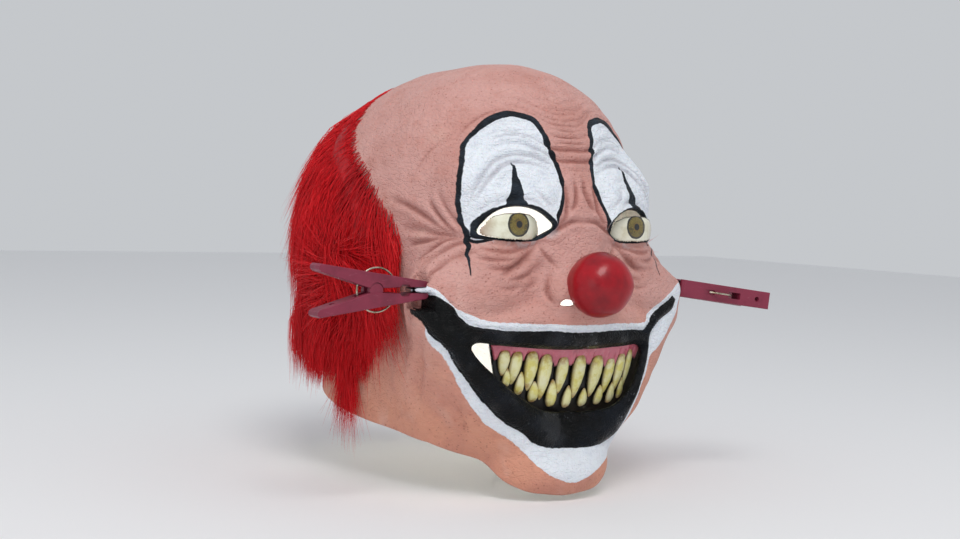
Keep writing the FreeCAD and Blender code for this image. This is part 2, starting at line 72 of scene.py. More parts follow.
def head(p):
    """Signed distance to the outside of the smooth latex form."""
    x, y, z = p[..., 0], p[..., 1], p[..., 2]
    s = p * np.array([1.0, 1, 1])
    s[..., 0] = np.sqrt(x**2 + 12)
    d = ball(p, (0, 13, 19), (99, 118, 90))
    d = melt(d, ball(p, (0, -32, 34), (82, 62, 72)), 20)
    neck = (np.hypot(x / 91, (y - 24) / 111) - 1) * 91
    d = melt(d, -melt(-neck, -(z - 10), 30), 30)
    d = melt(d, ball(s, (35, -61, -1), (45, 52, 41)), 20)
    d = melt(d, ball(s, (46, -57, -34), (43, 46, 37)), 16)
    d = melt(d, bar(s, (60, -78, -39), (103, -83, -37), 20, 4), 30)
    d = melt(d, ball(s, (0, -58, -84), (76, 52, 56)), 16)
    d = melt(d, ball(s, (56, -50, -88), (33, 40, 60)), 20)
    d = melt(d, ball(s, (0, -84, -57), (64, 37, 21)), 20)
    d = melt(d, bar(s, (85, -84, -56), (24, -92, -138), 15, 15), 30)
    d = melt(d, ball(p, (0, -89, -156), (41, 28, 20)), 12)
    d = melt(d, bar(p, (0, -95, 24), (0, -105, -36), 11, 24), 16)
    d = melt(d, bar(s, (21, -94, 18), (58, -77, 27), 4, 17), 18)
    return -melt(-d, ball(s, (46, -122, -6), (26, 17, 9)), 8)


# Room for the jaws of the two pegs beside the folds that they grip.
JAW_ROOM = [
    ((-150, -110, -50), (-97, -76, -39.3)),
    ((-150, -91.2, -36.7), (-97, -76, -18)),
    ((107.6, -120, -47), (150, -85.4, -29)),
    ((107.6, -82.6, -47), (150, -73, -29)),
]


def skin(p):
    d = head(p)
    for low, high in JAW_ROOM:
        d = -melt(-d, block(p, low, high), 1.5)
    return d


def slope(p, field=head):
    """Outward unit normal of a distance field."""
    e = 0.4
    parts = [field(p + step) - field(p - step) for step in np.eye(3) * e]
    n = np.stack(parts, -1)
    return n / (np.linalg.norm(n, axis=-1, keepdims=True) + 1e-9)


def march(origin, direction, reach=190.0, field=skin):
    """Come in from outside along each direction until the field is met."""
    reach = np.full(len(origin), reach)
    for _ in range(70):
        gap = field(origin + direction * reach[:, None])
        reach -= 0.85 * gap
        if np.abs(gap).max() < 0.01:
            break
    return origin + direction * reach[:, None]


def level_rays(angles):
    """Level directions, turned from the front towards the wearer's left."""
    return np.stack([np.sin(angles), -np.cos(angles), 0 * angles], 1)


def ring_at(z, ahead, field):
    """The form met from outside along level rays through the Z axis, at heights z."""
    z = z + 0 * ahead[:, 0]
    return march(np.stack([0 * z, 0 * z, z], 1), ahead, field=field)


def on_face(points):
    """Front points (x, z) put on the form."""
    p = np.array([(x, 0, z) for x, z in points], float)
    return march(p, np.tile((0, -1.0, 0), (len(p), 1)), field=head)


def curve(points, steps=8, closed=False):
    """A smooth line through the points."""
    p = np.array(points, float)
    n = len(p)
    out = []
    for i in range(n if closed else n - 1):
        if closed:
            a, b, c, d = (p[(i + k) % n] for k in (-1, 0, 1, 2))
        else:
            a, b, c, d = p[max(i - 1, 0)], p[i], p[i + 1], p[min(i + 2, n - 1)]
        for t in np.arange(steps) / steps:
            bow, twist = 2 * a - 5 * b + 4 * c - d, 3 * b - a - 3 * c + d
            out.append(0.5 * (2 * b + (c - a) * t + bow * t**2 + twist * t**3))
    if not closed:
        out.append(p[-1])
    return np.array(out)


def line_gap(p, line):
    """Distance to a polyline, and how far along it, 0 to 1."""
    best = np.full(len(p), 1e9)
    where = np.zeros(len(p))
    count = len(line) - 1
    for i in range(count):
        a, ab = line[i], line[i + 1] - line[i]
        t = np.clip((p - a) @ ab / (ab @ ab + 1e-12), 0, 1)
        gap = np.linalg.norm(p - a - t[:, None] * ab, axis=1)
        closer = gap < best
        best[closer] = gap[closer]
        where[closer] = ((i + t) / count)[closer]
    return best, where


def outline_gap(p, outline):
    """Signed distance in the plane to a closed outline, negative inside."""
    ring = np.vstack([outline, outline[:1]])
    gap, _ = line_gap(p, ring)
    inside = np.zeros(len(p), bool)
    for a, b in zip(ring[:-1], ring[1:]):
        spans = (a[1] > p[:, 1]) != (b[1] > p[:, 1])
        x = a[0] + (p[:, 1] - a[1]) * (b[0] - a[0]) / (b[1] - a[1] + 1e-12)
        inside ^= spans & (p[:, 0] < x)
    return np.where(inside, -gap, gap)


# ------------------------------------------------------------------ outlines on the face, as (|x|, z)
EYE_HOLE = curve([
    (22, 3), (28, 10), (36, 14), (46, 15.5), (56, 13.5), (64, 7.5), (69, -2), (60, -4.8),
    (46, -5.6), (32, -4.6),
], 6, True)
# Top edge of an eye insert, under the lid, as |x| and z.
INSERT_TOP = (
    [24, 27, 29, 32, 38, 46, 56, 62, 66, 69, 71],
    [-8, -5, 2, 7, 10, 11, 10.4, 8.8, 6.5, 0, -7],
)
# The mouth runs further round on the right, so its outlines are whole, as (x, z).
MOUTH_HOLE = curve([
    (0, -75), (-20, -74.5), (-40, -73), (-58, -71), (-71, -69.5), (-75, -73), (-69, -81),
    (-57, -91), (-40, -103.5), (-20, -113.5), (0, -116.5), (20, -116), (35, -113.5), (46, -107),
    (53.5, -97), (57.5, -85), (58, -77), (53, -73.5), (40, -74.5), (20, -75),
], 6, True)
TURNS = np.linspace(0, 2 * math.pi, 17)[:-1]
NOSTRIL = np.stack([
    16.8 + 3.8 * np.cos(TURNS),
    -44.3 + 2.3 * np.sin(TURNS) - 0.5 * np.cos(2 * TURNS),
], 1)
PATCH = curve([
    (28, 71.5), (37, 73), (48, 69), (58, 61), (66, 52), (71, 43), (75, 34), (76.5, 24),
    (76, 13), (72.5, -5), (66, -7), (46, 2), (24, 1), (20, 10), (15.5, 19), (13, 29), (14, 41),
    (17, 51), (20, 64), (23, 69.5),
], 5, True)
SPIKE = np.array([
    (44.2, 42.5), (42.8, 42.5), (42.6, 34), (42.3, 25), (41.3, 13), (57, 12), (52, 18.5),
    (48.8, 26), (46.2, 34),
])
WHITE_TOP = [
    (-109, -35.5), (-106, -34.6), (-103, -34.8), (-97, -37), (-93, -41), (-86, -48), (-77, -52),
    (-65, -56), (-45, -57), (-12, -58), (12, -58), (38, -58.5), (58, -59), (62, -54), (72, -47),
    (86, -40), (96, -36), (105, -34),
]
WHITE_LOW = [
    (107, -40), (97, -48), (88, -62), (76, -75), (68, -81), (65.5, -88), (61, -104), (56, -118),
    (50, -132), (42, -143), (30, -149), (16, -155), (0, -159.5), (-16, -155), (-26, -147),
    (-34, -139), (-44, -131), (-61, -119), (-75, -101), (-86, -82), (-97, -69), (-102, -54),
    (-108, -44),
]
WHITE = np.vstack([curve(WHITE_TOP, 5), curve(WHITE_LOW, 5)])
BLACK_TOP = [
    (-107, -40), (-99, -40), (-88, -47), (-84, -53), (-75, -59), (-61, -61), (-45, -62),
    (-25, -62), (-4, -63), (25, -63), (45, -63), (58, -64), (62, -61), (64, -59), (67, -54),
    (77, -48), (90, -42),
]
BLACK_LOW = [
    (94, -44.5), (88, -51), (75, -58), (66, -66), (63.5, -78), (61, -89), (57, -104), (51, -118),
    (43, -131), (30, -137), (15, -139), (-3, -139), (-25, -135), (-36, -127), (-50, -119),
    (-65, -105), (-76, -91), (-83, -82), (-88, -74), (-97, -65), (-102, -57), (-106, -51),
]
BLACK = np.vstack([curve(BLACK_TOP, 5), curve(BLACK_LOW, 5)])
TEAR = curve([(72, -4), (73.5, -10), (75, -18), (76, -27)], 6)

# Creases pressed into the latex: points (|x|, y, z), or (|x|, z) on the front; width, depth.
CREASES = [
    ([(72, -93, -5), (82, -76, -4), (86, -61, -2), (89, -44, -2)], 2.6, 1.5),
    ([(76, -88, -4), (81, -74, 6), (84, -64, 18)], 2.0, 1.0),
    ([(74, -90, -1), (79, -79, 11), (81, -71, 24)], 2.0, 0.8),
    ([(78, -85, -5), (83, -67, 4), (89, -50, 12), (94, -33, 17)], 2.2, 1.1),
    ([(74, -91, -6), (81, -81, -8), (87, -72, -15), (91, -62, -22)], 2.6, 1.3),
    ([(79, -83, -6), (86, -66, -9), (88, -49, -12)], 2.2, 1.0),
    ([(64, -101, -7), (76, -90, -9), (86, -82, -16), (95, -74, -24)], 2.6, 1.4),
    ([(68, -100, -13), (81, -91, -18), (92, -89, -25), (102, -89, -32)], 2.6, 1.2),
    ([(99, -80, -68), (90, -69, -89), (86, -59, -111)], 5, 1.8),
    ([(77, -88, -107), (70, -89, -119), (64, -84, -129)], 3.5, 1.2),
    ([(88, -60, -60), (87, -52, -80), (84, -48, -105)], 5, 1.2),
    ([(24, -113, -25), (26.5, -114, -33), (26.5, -116, -40), (22, -119, -46)], 1.9, 1.7),
    ([(24, -114, -32), (33, -112, -41), (45, -111, -47), (61, -108, -52), (76, -106, -50)], 5, 1.5),
    ([(69, -11), (60, -13), (50, -13.5), (38, -10), (29, -6)], 2.0, 1.0),
    ([(71, -17), (61, -18.5), (49, -18)], 1.8, 0.8),
    ([(66, -23), (56, -24), (44, -21), (36, -15)], 2.4, 0.8),
    ([(30, -9), (25, -16), (18, -24)], 2.0, 0.9),
    ([(30, -7), (40, -16), (49, -23), (57, -28)], 2.6, 1.3),
    ([(33, -3), (24, -1), (16, 3), (8, 6.5), (-8, 6.5)], 1.9, 1.8),
    ([(20, 4), (14, 9), (12, 16), (11, 26), (15, 33)], 1.9, 1.2),
    ([(3.5, 34), (3.5, 25), (6, 17), (10, 13)], 2.2, 1.0),
    ([(-4, 60), (6, 60), (15, 62), (26, 68)], 1.5, 0.6),
    ([(-4, 52), (8, 51.5), (17, 53), (28, 59), (44, 62), (58, 56), (68, 44)], 1.7, 1.2),
    ([(-4, 45), (8, 44.5), (16, 46), (26, 52), (38, 55), (50, 52), (62, 43), (70, 33)], 1.8, 1.3),
    ([(12, 41), (20, 43), (30, 46.5), (42, 47), (55, 42), (66, 32), (73, 20)], 2.0, 1.2),
    ([(17, 36), (26, 41), (38, 43), (48, 41), (58, 34), (66, 25), (71, 13)], 2.3, 1.4),
    ([(26, 66), (40, 69), (52, 64), (62, 56)], 1.6, 0.6),
    ([(22, 60), (34, 66), (46, 65), (56, 61)], 1.4, 0.5),
    ([(-4, 67), (10, 68), (22, 74), (34, 79), (52, 73)], 1.6, 0.6),
    ([(-4, 74), (10, 76), (24, 82), (38, 84)], 1.6, 0.5),
    ([(-4, 81), (12, 84), (26, 88)], 1.6, 0.4),
    ([(-4, 60), (8, 60), (17, 61)], 1.2, 0.7),
    ([(-4, 56.5), (8, 56), (16, 57)], 1.2, 0.8),
    ([(-4, 64), (9, 64.5), (20, 68)], 1.2, 0.7),
    ([(-4, 70), (12, 72), (26, 78), (42, 80)], 1.2, 0.6),
    ([(-4, 77), (14, 79), (30, 84)], 1.2, 0.5),
    ([(-4, 39), (8, 39)], 1.4, 0.7),
    ([(22, 52), (32, 58.5), (44, 59), (54, 54)], 1.3, 0.8),
    ([(16, 48.5), (26, 51), (32, 51)], 1.2, 0.7),
    ([(30, 74), (44, 75), (58, 67), (70, 54)], 1.3, 0.6),
    ([(72, 58), (82, 44), (88, 28)], 1.6, 0.5),
    ([(60, 38), (69, 26), (73, 14)], 1.6, 0.7),
    ([(30, 30), (38, 33), (44, 33)], 1.6, 0.6),
    ([(22, 14), (30, 20), (36, 27)], 2.0, 0.8),
    ([(40, -33), (50, -36), (60, -35)], 2.2, 0.6),
    ([(34, -26), (44, -29), (54, -31)], 2.0, 0.7),
    ([(28, -30), (36, -34), (48, -41)], 2.0, 0.6),
    ([(27, 11), (36, 18), (46, 20), (56, 17.5), (66, 10)], 2.2, 0.9),
]
# Swellings: centre (|x|, y, z), radii, height.
SWELLINGS = [
    ((28, -108, 23), (13, 12, 15), 3.2),
    ((20, -121, -36), (8, 9, 9), 4.2),
    ((52, -105, -13), (18, 12, 5), 1.4),
    ((66, -100, -32), (22, 20, 14), 2.0),
    ((70, -76, 34), (12, 14, 14), 1.2),
    ((0, -112, 14), (7, 8, 7), 1.2),
    ((34, -111, 8), (12, 10, 9), 1.0),
]


def relief(p):
    """How far the sculpted skin stands off the smooth form, and how deep in a crease it lies, which
    sets the painted shade in the creases.
    """
    side = p.copy()
    side[:, 0] = np.abs(p[:, 0])
    ripple = np.sin(p[:, 0] * 0.19 + 1.7 * np.sin(p[:, 2] * 0.13))
    ripple *= np.cos(p[:, 2] * 0.21 + p[:, 1] * 0.1)
    rise = 0.35 * ripple
    shade_in_creases = np.zeros(len(p))
    for points, width, depth in CREASES:
        line = on_face(curve(points)) if len(points[0]) == 2 else curve(points)
        gap, along = line_gap(side, line)
        ends = np.sin(np.pi * np.clip(along, 0.02, 0.98)) ** 0.5
        if points[0][0] < 0:
            ends = np.sqrt(np.clip(1 - along, 0.02, 1))
        width = width * (0.9 + 0.2 * ripple)
        cut = np.exp(-((gap / width) ** 2)) * ends
        depth = depth * (1.45 if points[0][-1] > 30 else 1.3)
        rise -= depth * cut
        rise += 0.5 * depth * ends * np.exp(-(((gap - 2.1 * width) / (1.3 * width)) ** 2))
        # This crease strength only darkens the colour, as painted shade.
        shade_in_creases = np.maximum(shade_in_creases, cut * min(depth, 1.3) * np.minimum(1, 2.3 / width) ** 3)
    for centre, radii, height in SWELLINGS:
        off = (side - np.array(centre, float)) / np.array(radii, float)
        rise += height * np.exp(-(off**2).sum(1))
    return rise, shade_in_creases


# ------------------------------------------------------------------ meshes
def make_object(name, points, faces, materials):
    mesh = bpy.data.meshes.new(name)
    mesh.from_pydata((np.asarray(points) * MM).tolist(), [], faces)
    mesh.update()
    piece = bpy.data.objects.new(name, mesh)
    bpy.context.scene.collection.objects.link(piece)
    for material in materials:
        mesh.materials.append(material)
    mesh.polygons.foreach_set("use_smooth", [True] * len(mesh.polygons))
    return piece


def points_of(mesh):
    co = np.zeros(len(mesh.vertices) * 3)
    mesh.vertices.foreach_get("co", co)
    return co.reshape(-1, 3) / MM


def set_values(mesh, name, values):
    attribute = mesh.attributes.get(name) or mesh.attributes.new(name, "FLOAT", "POINT")
    attribute.data.foreach_set("value", np.asarray(values, np.float32))


def neckline(y):
    """Height of the rim at each depth: level at the back, then down to the chin."""
    back = -138 + (y + 58) * 0.12
    t = np.clip((-58 - y) / 55, 0, 1)
    front = -138 - 33.5 * t**1.2
    return np.where(y > -58, back, front)


def skin_grid():
    """Rows of points round the head, from the neckline to the crown."""
    step = 0.66
    front = np.arange(0, 74, step)
    side = np.arange(75, 104, 1.8)
    back = np.linspace(107, 176, 17)
    half = np.concatenate([front, side, back])
    angles = np.radians(np.concatenate([-half[::-1], half[1:], [180]]))
    ahead = level_rays(angles)
    waist = 10.0
    rim = np.full(len(angles), -150.0)
    for _ in range(8):
        rim = neckline(ring_at(rim, ahead, skin)[:, 1])
    count = 138
    rows = []
    for share in np.linspace(0, 1, count):
        rows.append(ring_at(rim + (waist - rim) * share, ahead, skin))
    lifts = np.concatenate([np.arange(step * 1.15, 47, step * 1.15), np.linspace(48, 87, 17)])
    for lift in np.radians(lifts):
        direction = ahead * math.cos(lift) + np.array([0, 0, math.sin(lift)])
        origin = np.tile((0, 0, waist), (len(angles), 1))
        rows.append(march(origin, direction, field=skin))
    top = march(np.array([[0, 0, waist]]), np.array([[0, 0, 1.0]]), field=skin)
    return np.array(rows), top[0]


def hole_gap(p):
    """Signed distance to the nearest opening on the front, and which one it is."""
    flat = np.stack([np.abs(p[:, 0]), p[:, 2]], 1)
    whole = np.stack([p[:, 0], p[:, 2]], 1)
    gaps = np.stack([
        outline_gap(flat, EYE_HOLE),
        outline_gap(whole, MOUTH_HOLE),
        outline_gap(flat, NOSTRIL),
    ])
    gaps[:, p[:, 1] > -70] = 99
    return gaps


def open_edges(quads, count):
    """Edges that only one quad has."""
    edges = np.vstack([quads[:, [i, (i + 1) % 4]] for i in range(4)])
    keys = edges.min(1).astype(np.int64) * count + edges.max(1)
    _, first, uses = np.unique(keys, return_index=True, return_counts=True)
    return edges[first[uses == 1]]


def quads_of(index):
    """Quads between the rows of a grid whose columns close in a ring."""
    right = np.roll(index, -1, axis=1)
    return np.stack([index[:-1], right[:-1], right[1:], index[1:]], -1).reshape(-1, 4)


def drop_unused(points, faces, used):
    """Keep the used points alone, and number the faces afresh."""
    renumber = np.full(len(points), -1)
    renumber[used] = np.arange(len(used))
    return points[used], [[int(renumber[i]) for i in face] for face in faces]


def build_skin(materials):
    grid, top = skin_grid()
    rows, columns = grid.shape[:2]
    base = grid.reshape(-1, 3)
    base = np.vstack([base, top])
    index = np.arange(rows * columns).reshape(rows, columns)
    quads = quads_of(index)
    nearest = hole_gap(base).min(0)
    quads = quads[hole_gap(base[quads].mean(1)).min(0) > 0]
    # Vertices on an opening's edge go exactly on its outline.
    rim_edges = open_edges(quads, len(base))
    rim = np.unique(rim_edges)
    edge_rim = rim[nearest[rim] < 4]
    e = 0.05
    for _ in range(3):
        p = base[edge_rim]
        gap = hole_gap(p).min(0)
        across = hole_gap(p + (e, 0, 0)).min(0) - hole_gap(p - (e, 0, 0)).min(0)
        up = hole_gap(p + (0, 0, e)).min(0) - hole_gap(p - (0, 0, e)).min(0)
        n = np.stack([across, 0 * across, up], 1)
        n /= np.linalg.norm(n, axis=1, keepdims=True) + 1e-9
        p = p - n * gap[:, None]
        for _ in range(3):
            p = p - slope(p) * head(p)[:, None]
        base[edge_rim] = p
    normals = slope(base)
    rise, shade_in_creases = relief(base)
    gaps = hole_gap(base)
    eye, mouth = gaps[:2]
    black = outline_gap(base[:, [0, 2]], BLACK)
    black[base[:, 1] > -55] = 60
    # The lids are thick, and the lips a roll with a narrow ledge inside it.
    rise += 1.0 * np.exp(-(((eye - 1.2) / 1.8) ** 2)) - 0.5 * np.exp(-(((eye - 4.5) / 1.5) ** 2))
    width = np.maximum(mouth - black, 6)
    across = np.clip(mouth / width, 0, 1)
    lip = (black < 1.5) & (mouth > -1)
    roll = np.where(lip, np.sin(np.pi * np.clip(across, 0, 1)) ** 0.7, 0)
    rise = np.where(lip, rise * 0.5 + 3.0 * roll, rise)
    rise -= 0.9 * np.exp(-((black / 1.3) ** 2)) * (mouth > 3)
    rise -= 0.8 * np.exp(-(((mouth - 2.6) / 0.8) ** 2))
    edge = np.exp(-((np.minimum(mouth, 9) / 2.2) ** 2))
    rise -= 0.6 * edge
    # The folds' roots stay flat, clear of the jaws.
    jaws = np.minimum.reduce([block(base, low, high) for low, high in JAW_ROOM])
    calm = np.clip((jaws - 1) / 6, 0, 1)
    rise = np.where(rise > 0, rise * calm, rise)
    outer = base + normals * rise[:, None]
    inner = base - normals * (2.4 + np.maximum(-rise, 0)[:, None] * 0.7)
    count = len(base)
    cap = index[-1]
    fan = np.stack([cap, np.roll(cap, -1), np.full(columns, count - 1)], 1)
    faces = quads.tolist() + fan.tolist()
    faces += (quads[:, ::-1] + count).tolist() + (fan[:, ::-1] + count).tolist()
    wall = [(b, a, a + count, b + count) for a, b in rim_edges if a < count - 1]
    wall = [w for w in wall if not (w[0] >= cap[0] and w[1] >= cap[0])]
    faces += wall
    points = np.vstack([outer, inner])
    used = np.unique(np.concatenate([quads.ravel(), fan.ravel()]))
    used = np.concatenate([used, used + count])
    points, faces = drop_unused(points, faces, used)
    piece = make_object("latex_skin", points, faces, materials)
    sheet = np.concatenate([np.zeros(count), np.ones(count)])[used]
    sheet_colour = np.concatenate([0 * jaws, jaws > 6])[used]
    # The crease strength goes on the outer sheet, for the painted shade in the colour.
    both = np.concatenate([shade_in_creases, 0 * shade_in_creases])[used]
    set_values(piece.data, "lining", sheet_colour)
    set_values(piece.data, "shade_in_creases", both)
    fixed = np.zeros(2 * count, bool)
    fixed[rim] = fixed[rim + count] = True
    coarse = (sheet > 0.5) & ~fixed[used]
    group = piece.vertex_groups.new(name="coarse")
    group.add(np.nonzero(coarse)[0].tolist(), 1.0, "REPLACE")
    modifier = piece.modifiers.new("fewer_inside", "DECIMATE")
    modifier.ratio = 0.56
    modifier.vertex_group = "coarse"
    bpy.context.view_layer.objects.active = piece
    piece.select_set(True)
    bpy.ops.object.modifier_apply(modifier="fewer_inside")
    piece.select_set(False)
    return piece


def mark_skin(piece):
    """Signed distances to each painted shape, in millimetres, for the materials."""
    p = points_of(piece.data)
    flat = np.stack([np.abs(p[:, 0]), p[:, 2]], 1)
    front = p[:, 1] < np.interp(flat[:, 0], [0, 70, 85, 96], [-40, -60, -79, -80])
    whole = p[:, [0, 2]]
    tear_x = np.interp(-flat[:, 1], -TEAR[:, 1], TEAR[:, 0])
    shapes = {
        "patch": outline_gap(flat, PATCH),
        "spike": outline_gap(flat, SPIKE),
        "tear": flat[:, 0] - tear_x,
        "white_band": outline_gap(whole, WHITE),
        "black_lips": outline_gap(whole, BLACK),
        "mouth_edge": outline_gap(whole, MOUTH_HOLE),
        "eye_edge": outline_gap(flat, EYE_HOLE),
    }
    set_values(piece.data, "outward", np.abs(p[:, 0]) * MM)
    for name, gap in shapes.items():
        set_values(piece.data, name, np.where(front, np.clip(gap, -20, 20), 20))


# ------------------------------------------------------------------ material helpers
class Nodes:
    """A few short words for building a node tree."""

    def __init__(self, tree):
        self.tree = tree

    def add(self, kind, inputs=None, **settings):
        node = self.tree.nodes.new("ShaderNode" + kind)
        for key, value in settings.items():
            setattr(node, key, value)
        for key, value in (inputs or {}).items():
            self.put(node.inputs[key], value)
        return node

    def put(self, socket, value):
        if hasattr(value, "links"):
            self.tree.links.new(value, socket)
        else:
            socket.default_value = value

    def attribute(self, name):
        return self.add("Attribute", attribute_name=name).outputs["Fac"]

    def place(self):
        return self.add("TexCoord").outputs["Object"]

    def noise(self, scale, detail=3.0, rough=0.5, vector=None, warp=0.0):
        inputs = {"Scale": scale, "Detail": detail, "Roughness": rough, "Distortion": warp}
        node = self.add("TexNoise", inputs)
        self.put(node.inputs["Vector"], vector or self.place())
        return node.outputs["Fac"]

    def cells(self, scale, vector=None, feature="F1"):
        node = self.add("TexVoronoi", {"Scale": scale}, feature=feature)
        self.put(node.inputs["Vector"], vector or self.place())
        return node.outputs["Distance"]

    def stretch(self, scale, rotation=(0, 0, 0)):
        node = self.add("Mapping", {"Scale": scale, "Rotation": rotation})
        self.put(node.inputs["Vector"], self.place())
        return node.outputs["Vector"]

    def calc(self, operation, a, b=0.0):
        node = self.add("Math", operation=operation)
        self.put(node.inputs[0], a)
        self.put(node.inputs[1], b)
        return node.outputs["Value"]

    def times(self, a, b):
        return self.calc("MULTIPLY", a, b)

    def plus(self, a, b):
        return self.calc("ADD", a, b)

    def ramp(self, value, low, high, to_low=0.0, to_high=1.0, smooth=True):
        names = ("Value", "From Min", "From Max", "To Min", "To Max")
        inputs = dict(zip(names, (value, low, high, to_low, to_high)))
        kind = "SMOOTHSTEP" if smooth else "LINEAR"
        return self.add("MapRange", inputs, interpolation_type=kind).outputs["Result"]

    def mix(self, share, a, b):
        node = self.add("Mix", data_type="RGBA")
        self.put(node.inputs[0], share)
        self.put(node.inputs[6], (*a, 1.0) if isinstance(a, tuple) else a)
        self.put(node.inputs[7], (*b, 1.0) if isinstance(b, tuple) else b)
        return node.outputs[2]

    def stain(self, under, value, low, high, most, colour):
        """Lay a colour over another as a value goes from low to high."""
        return self.mix(self.ramp(value, low, high, 0, most), under, srgb(*colour))

    def blend(self, share, a, b):
        node = self.add("Mix", data_type="FLOAT")
        self.put(node.inputs[0], share)
        self.put(node.inputs[2], a)
        self.put(node.inputs[3], b)
        return node.outputs[0]

    def bump(self, height, strength, distance=0.001):
        node = self.add("Bump", {"Strength": strength, "Distance": distance, "Height": height})
        return node.outputs["Normal"]


def new_material(name):
    material = bpy.data.materials.new(name)
    material.use_nodes = True
    tree = material.node_tree
    surface = next(n for n in tree.nodes if n.type == "BSDF_PRINCIPLED")
    nodes = Nodes(tree)
    return material, nodes, lambda name, value: nodes.put(surface.inputs[name], value)


def linear(v):
    return round(((v / 255 + 0.055) / 1.055) ** 2.4 if v > 10 else v / 255 / 12.92, 5)


def srgb(r, g, b):
    return linear(r), linear(g), linear(b)


def latex_material():
    material, n, put = new_material("painted_latex")
    wobble = n.calc("SUBTRACT", n.noise(300, 2), 0.5)
    wave = n.calc("SUBTRACT", n.noise(60, 2), 0.5)

    def inside(name, edge=0.22, shake=0.9, slow=1.2, offset=0.0):
        gap = n.plus(n.attribute(name), n.times(wobble, shake))
        gap = n.plus(gap, n.times(wave, slow))
        return n.ramp(gap, offset + edge, offset - edge)

    # Bare skin: rosy above, warmer below, mottled, with painted shade darkening the creases,
    # freckled.
    height = n.add("SeparateXYZ", {"Vector": n.place()}).outputs["Z"]
    warm = n.ramp(n.plus(height, n.times(wave, 0.05)), -0.03, -0.13)
    colour = n.mix(warm, srgb(211, 161, 153), srgb(219, 156, 132))
    colour = n.stain(colour, n.noise(22, 4, 0.6), 0.42, 0.72, 0.55, (192, 131, 119))
    colour = n.stain(colour, n.noise(95, 5, 0.7), 0.5, 0.8, 0.5, (186, 120, 106))
    pale = n.ramp(n.noise(40, 3, 0.6, n.stretch((1, 1, 0.6))), 0.55, 0.75, 0, 0.35)
    colour = n.mix(pale, colour, srgb(228, 186, 172))
    # Painted shade: the skin colour darkens along the sculpted creases.
    skin_crease_shade = n.plus(n.attribute("shade_in_creases"), n.times(wobble, 0.35))
    colour = n.stain(colour, skin_crease_shade, 0.2, 1.2, 0.62, (140, 78, 68))
    spots = n.ramp(n.cells(310), 0.1, 0.24, 1, 0)
    chosen = n.ramp(n.noise(60, 2), 0.48, 0.56)
    colour = n.mix(n.times(n.times(spots, chosen), 0.5), colour, srgb(140, 74, 62))
    dots = n.ramp(n.cells(190), 0.05, 0.15, 1, 0)
    colour = n.mix(n.times(dots, 0.5), colour, srgb(140, 74, 60))
    # White smudges under the eyes.
    smudge = n.ramp(n.noise(130, 4, 0.6), 0.5, 0.62, 0, 0.6)
    smudge = n.times(n.ramp(n.attribute("eye_edge"), 7.0, 1.0), smudge)
    colour = n.mix(smudge, colour, srgb(214, 208, 210))

    dirt = n.ramp(n.noise(120, 5, 0.7), 0.45, 0.8, 0, 0.55)
    streak = n.noise(900, 3, 0.6, n.stretch((1, 1, 0.16), (0, 0.5, 0)))
    white = n.mix(dirt, srgb(236, 241, 248), srgb(200, 206, 219))
    # Painted shade: the white paint turns grey along the sculpted creases.
    white = n.stain(white, n.attribute("shade_in_creases"), 0.35, 1.2, 0.42, (150, 140, 150))
    white = n.stain(white, streak, 0.55, 0.8, 0.22, (196, 170, 168))
    ink = n.mix(n.ramp(n.noise(90, 3), 0.4, 0.7), srgb(22, 26, 32), srgb(38, 46, 56))
    patch = inside("patch", slow=0.3)
    whites = n.calc("MAXIMUM", patch, inside("white_band", 0.3, 1.4, 1.6))
    ring = n.calc("ABSOLUTE", n.calc("SUBTRACT", n.attribute("patch"), 0.2))
    thick = n.ramp(height, 0.02, 0.06, 1.35, 2.0)
    thick = n.blend(n.ramp(n.attribute("outward"), 0.048, 0.066), thick, 0.95)
    ring = n.calc("SUBTRACT", ring, thick)
    ring = n.plus(ring, n.times(wobble, 0.8))
    ring = n.ramp(ring, 0.2, -0.2)
    above_lid = n.ramp(n.attribute("eye_edge"), 0.5, 2.2)
    ring = n.times(ring, above_lid)
    # Liner round the lids: thick above, widening to the outer corner, thin below.
    outer_corner = n.ramp(n.attribute("outward"), 0.054, 0.072)
    upper = n.ramp(n.plus(height, n.times(n.attribute("outward"), 0.14)), 0.0015, 0.0045)
    liner_width = n.plus(1.4, n.times(n.times(outer_corner, upper), 2.2))
    liner = n.calc("SUBTRACT", n.plus(n.attribute("eye_edge"), n.times(wobble, 1.1)), liner_width)
    liner = n.ramp(liner, 0.25, -0.25)
    fall = n.ramp(height, -0.0035, -0.0045)
    fall = n.times(fall, n.ramp(height, -0.029, -0.0275))
    tear = n.calc("ABSOLUTE", n.plus(n.attribute("tear"), n.times(wobble, 0.9)))
    tear = n.calc("SUBTRACT", tear, n.ramp(height, -0.027, -0.008, 0.45, 1.25))
    tear = n.times(n.ramp(tear, 0.2, -0.2), fall)
    dark = n.calc("MAXIMUM", inside("spike", 0.2, 0.8, 0.6), n.calc("MAXIMUM", liner, tear))
    dark = n.calc("MAXIMUM", ring, dark)
    lips = inside("black_lips", 0.25, 1.0, 1.4)
    colour = n.mix(whites, colour, white)
    colour = n.mix(dark, colour, ink)
    # Black lips: glossy, with a painted bluish sheen mottled over them and painted light-grey glints.
    # Painted sheen: bluish patches over the black stand in for reflections.
    painted_sheen = n.ramp(n.noise(34, 4, 0.6), 0.42, 0.72, 0, 1)
    black = n.mix(painted_sheen, srgb(2, 3, 4), srgb(13, 19, 28))
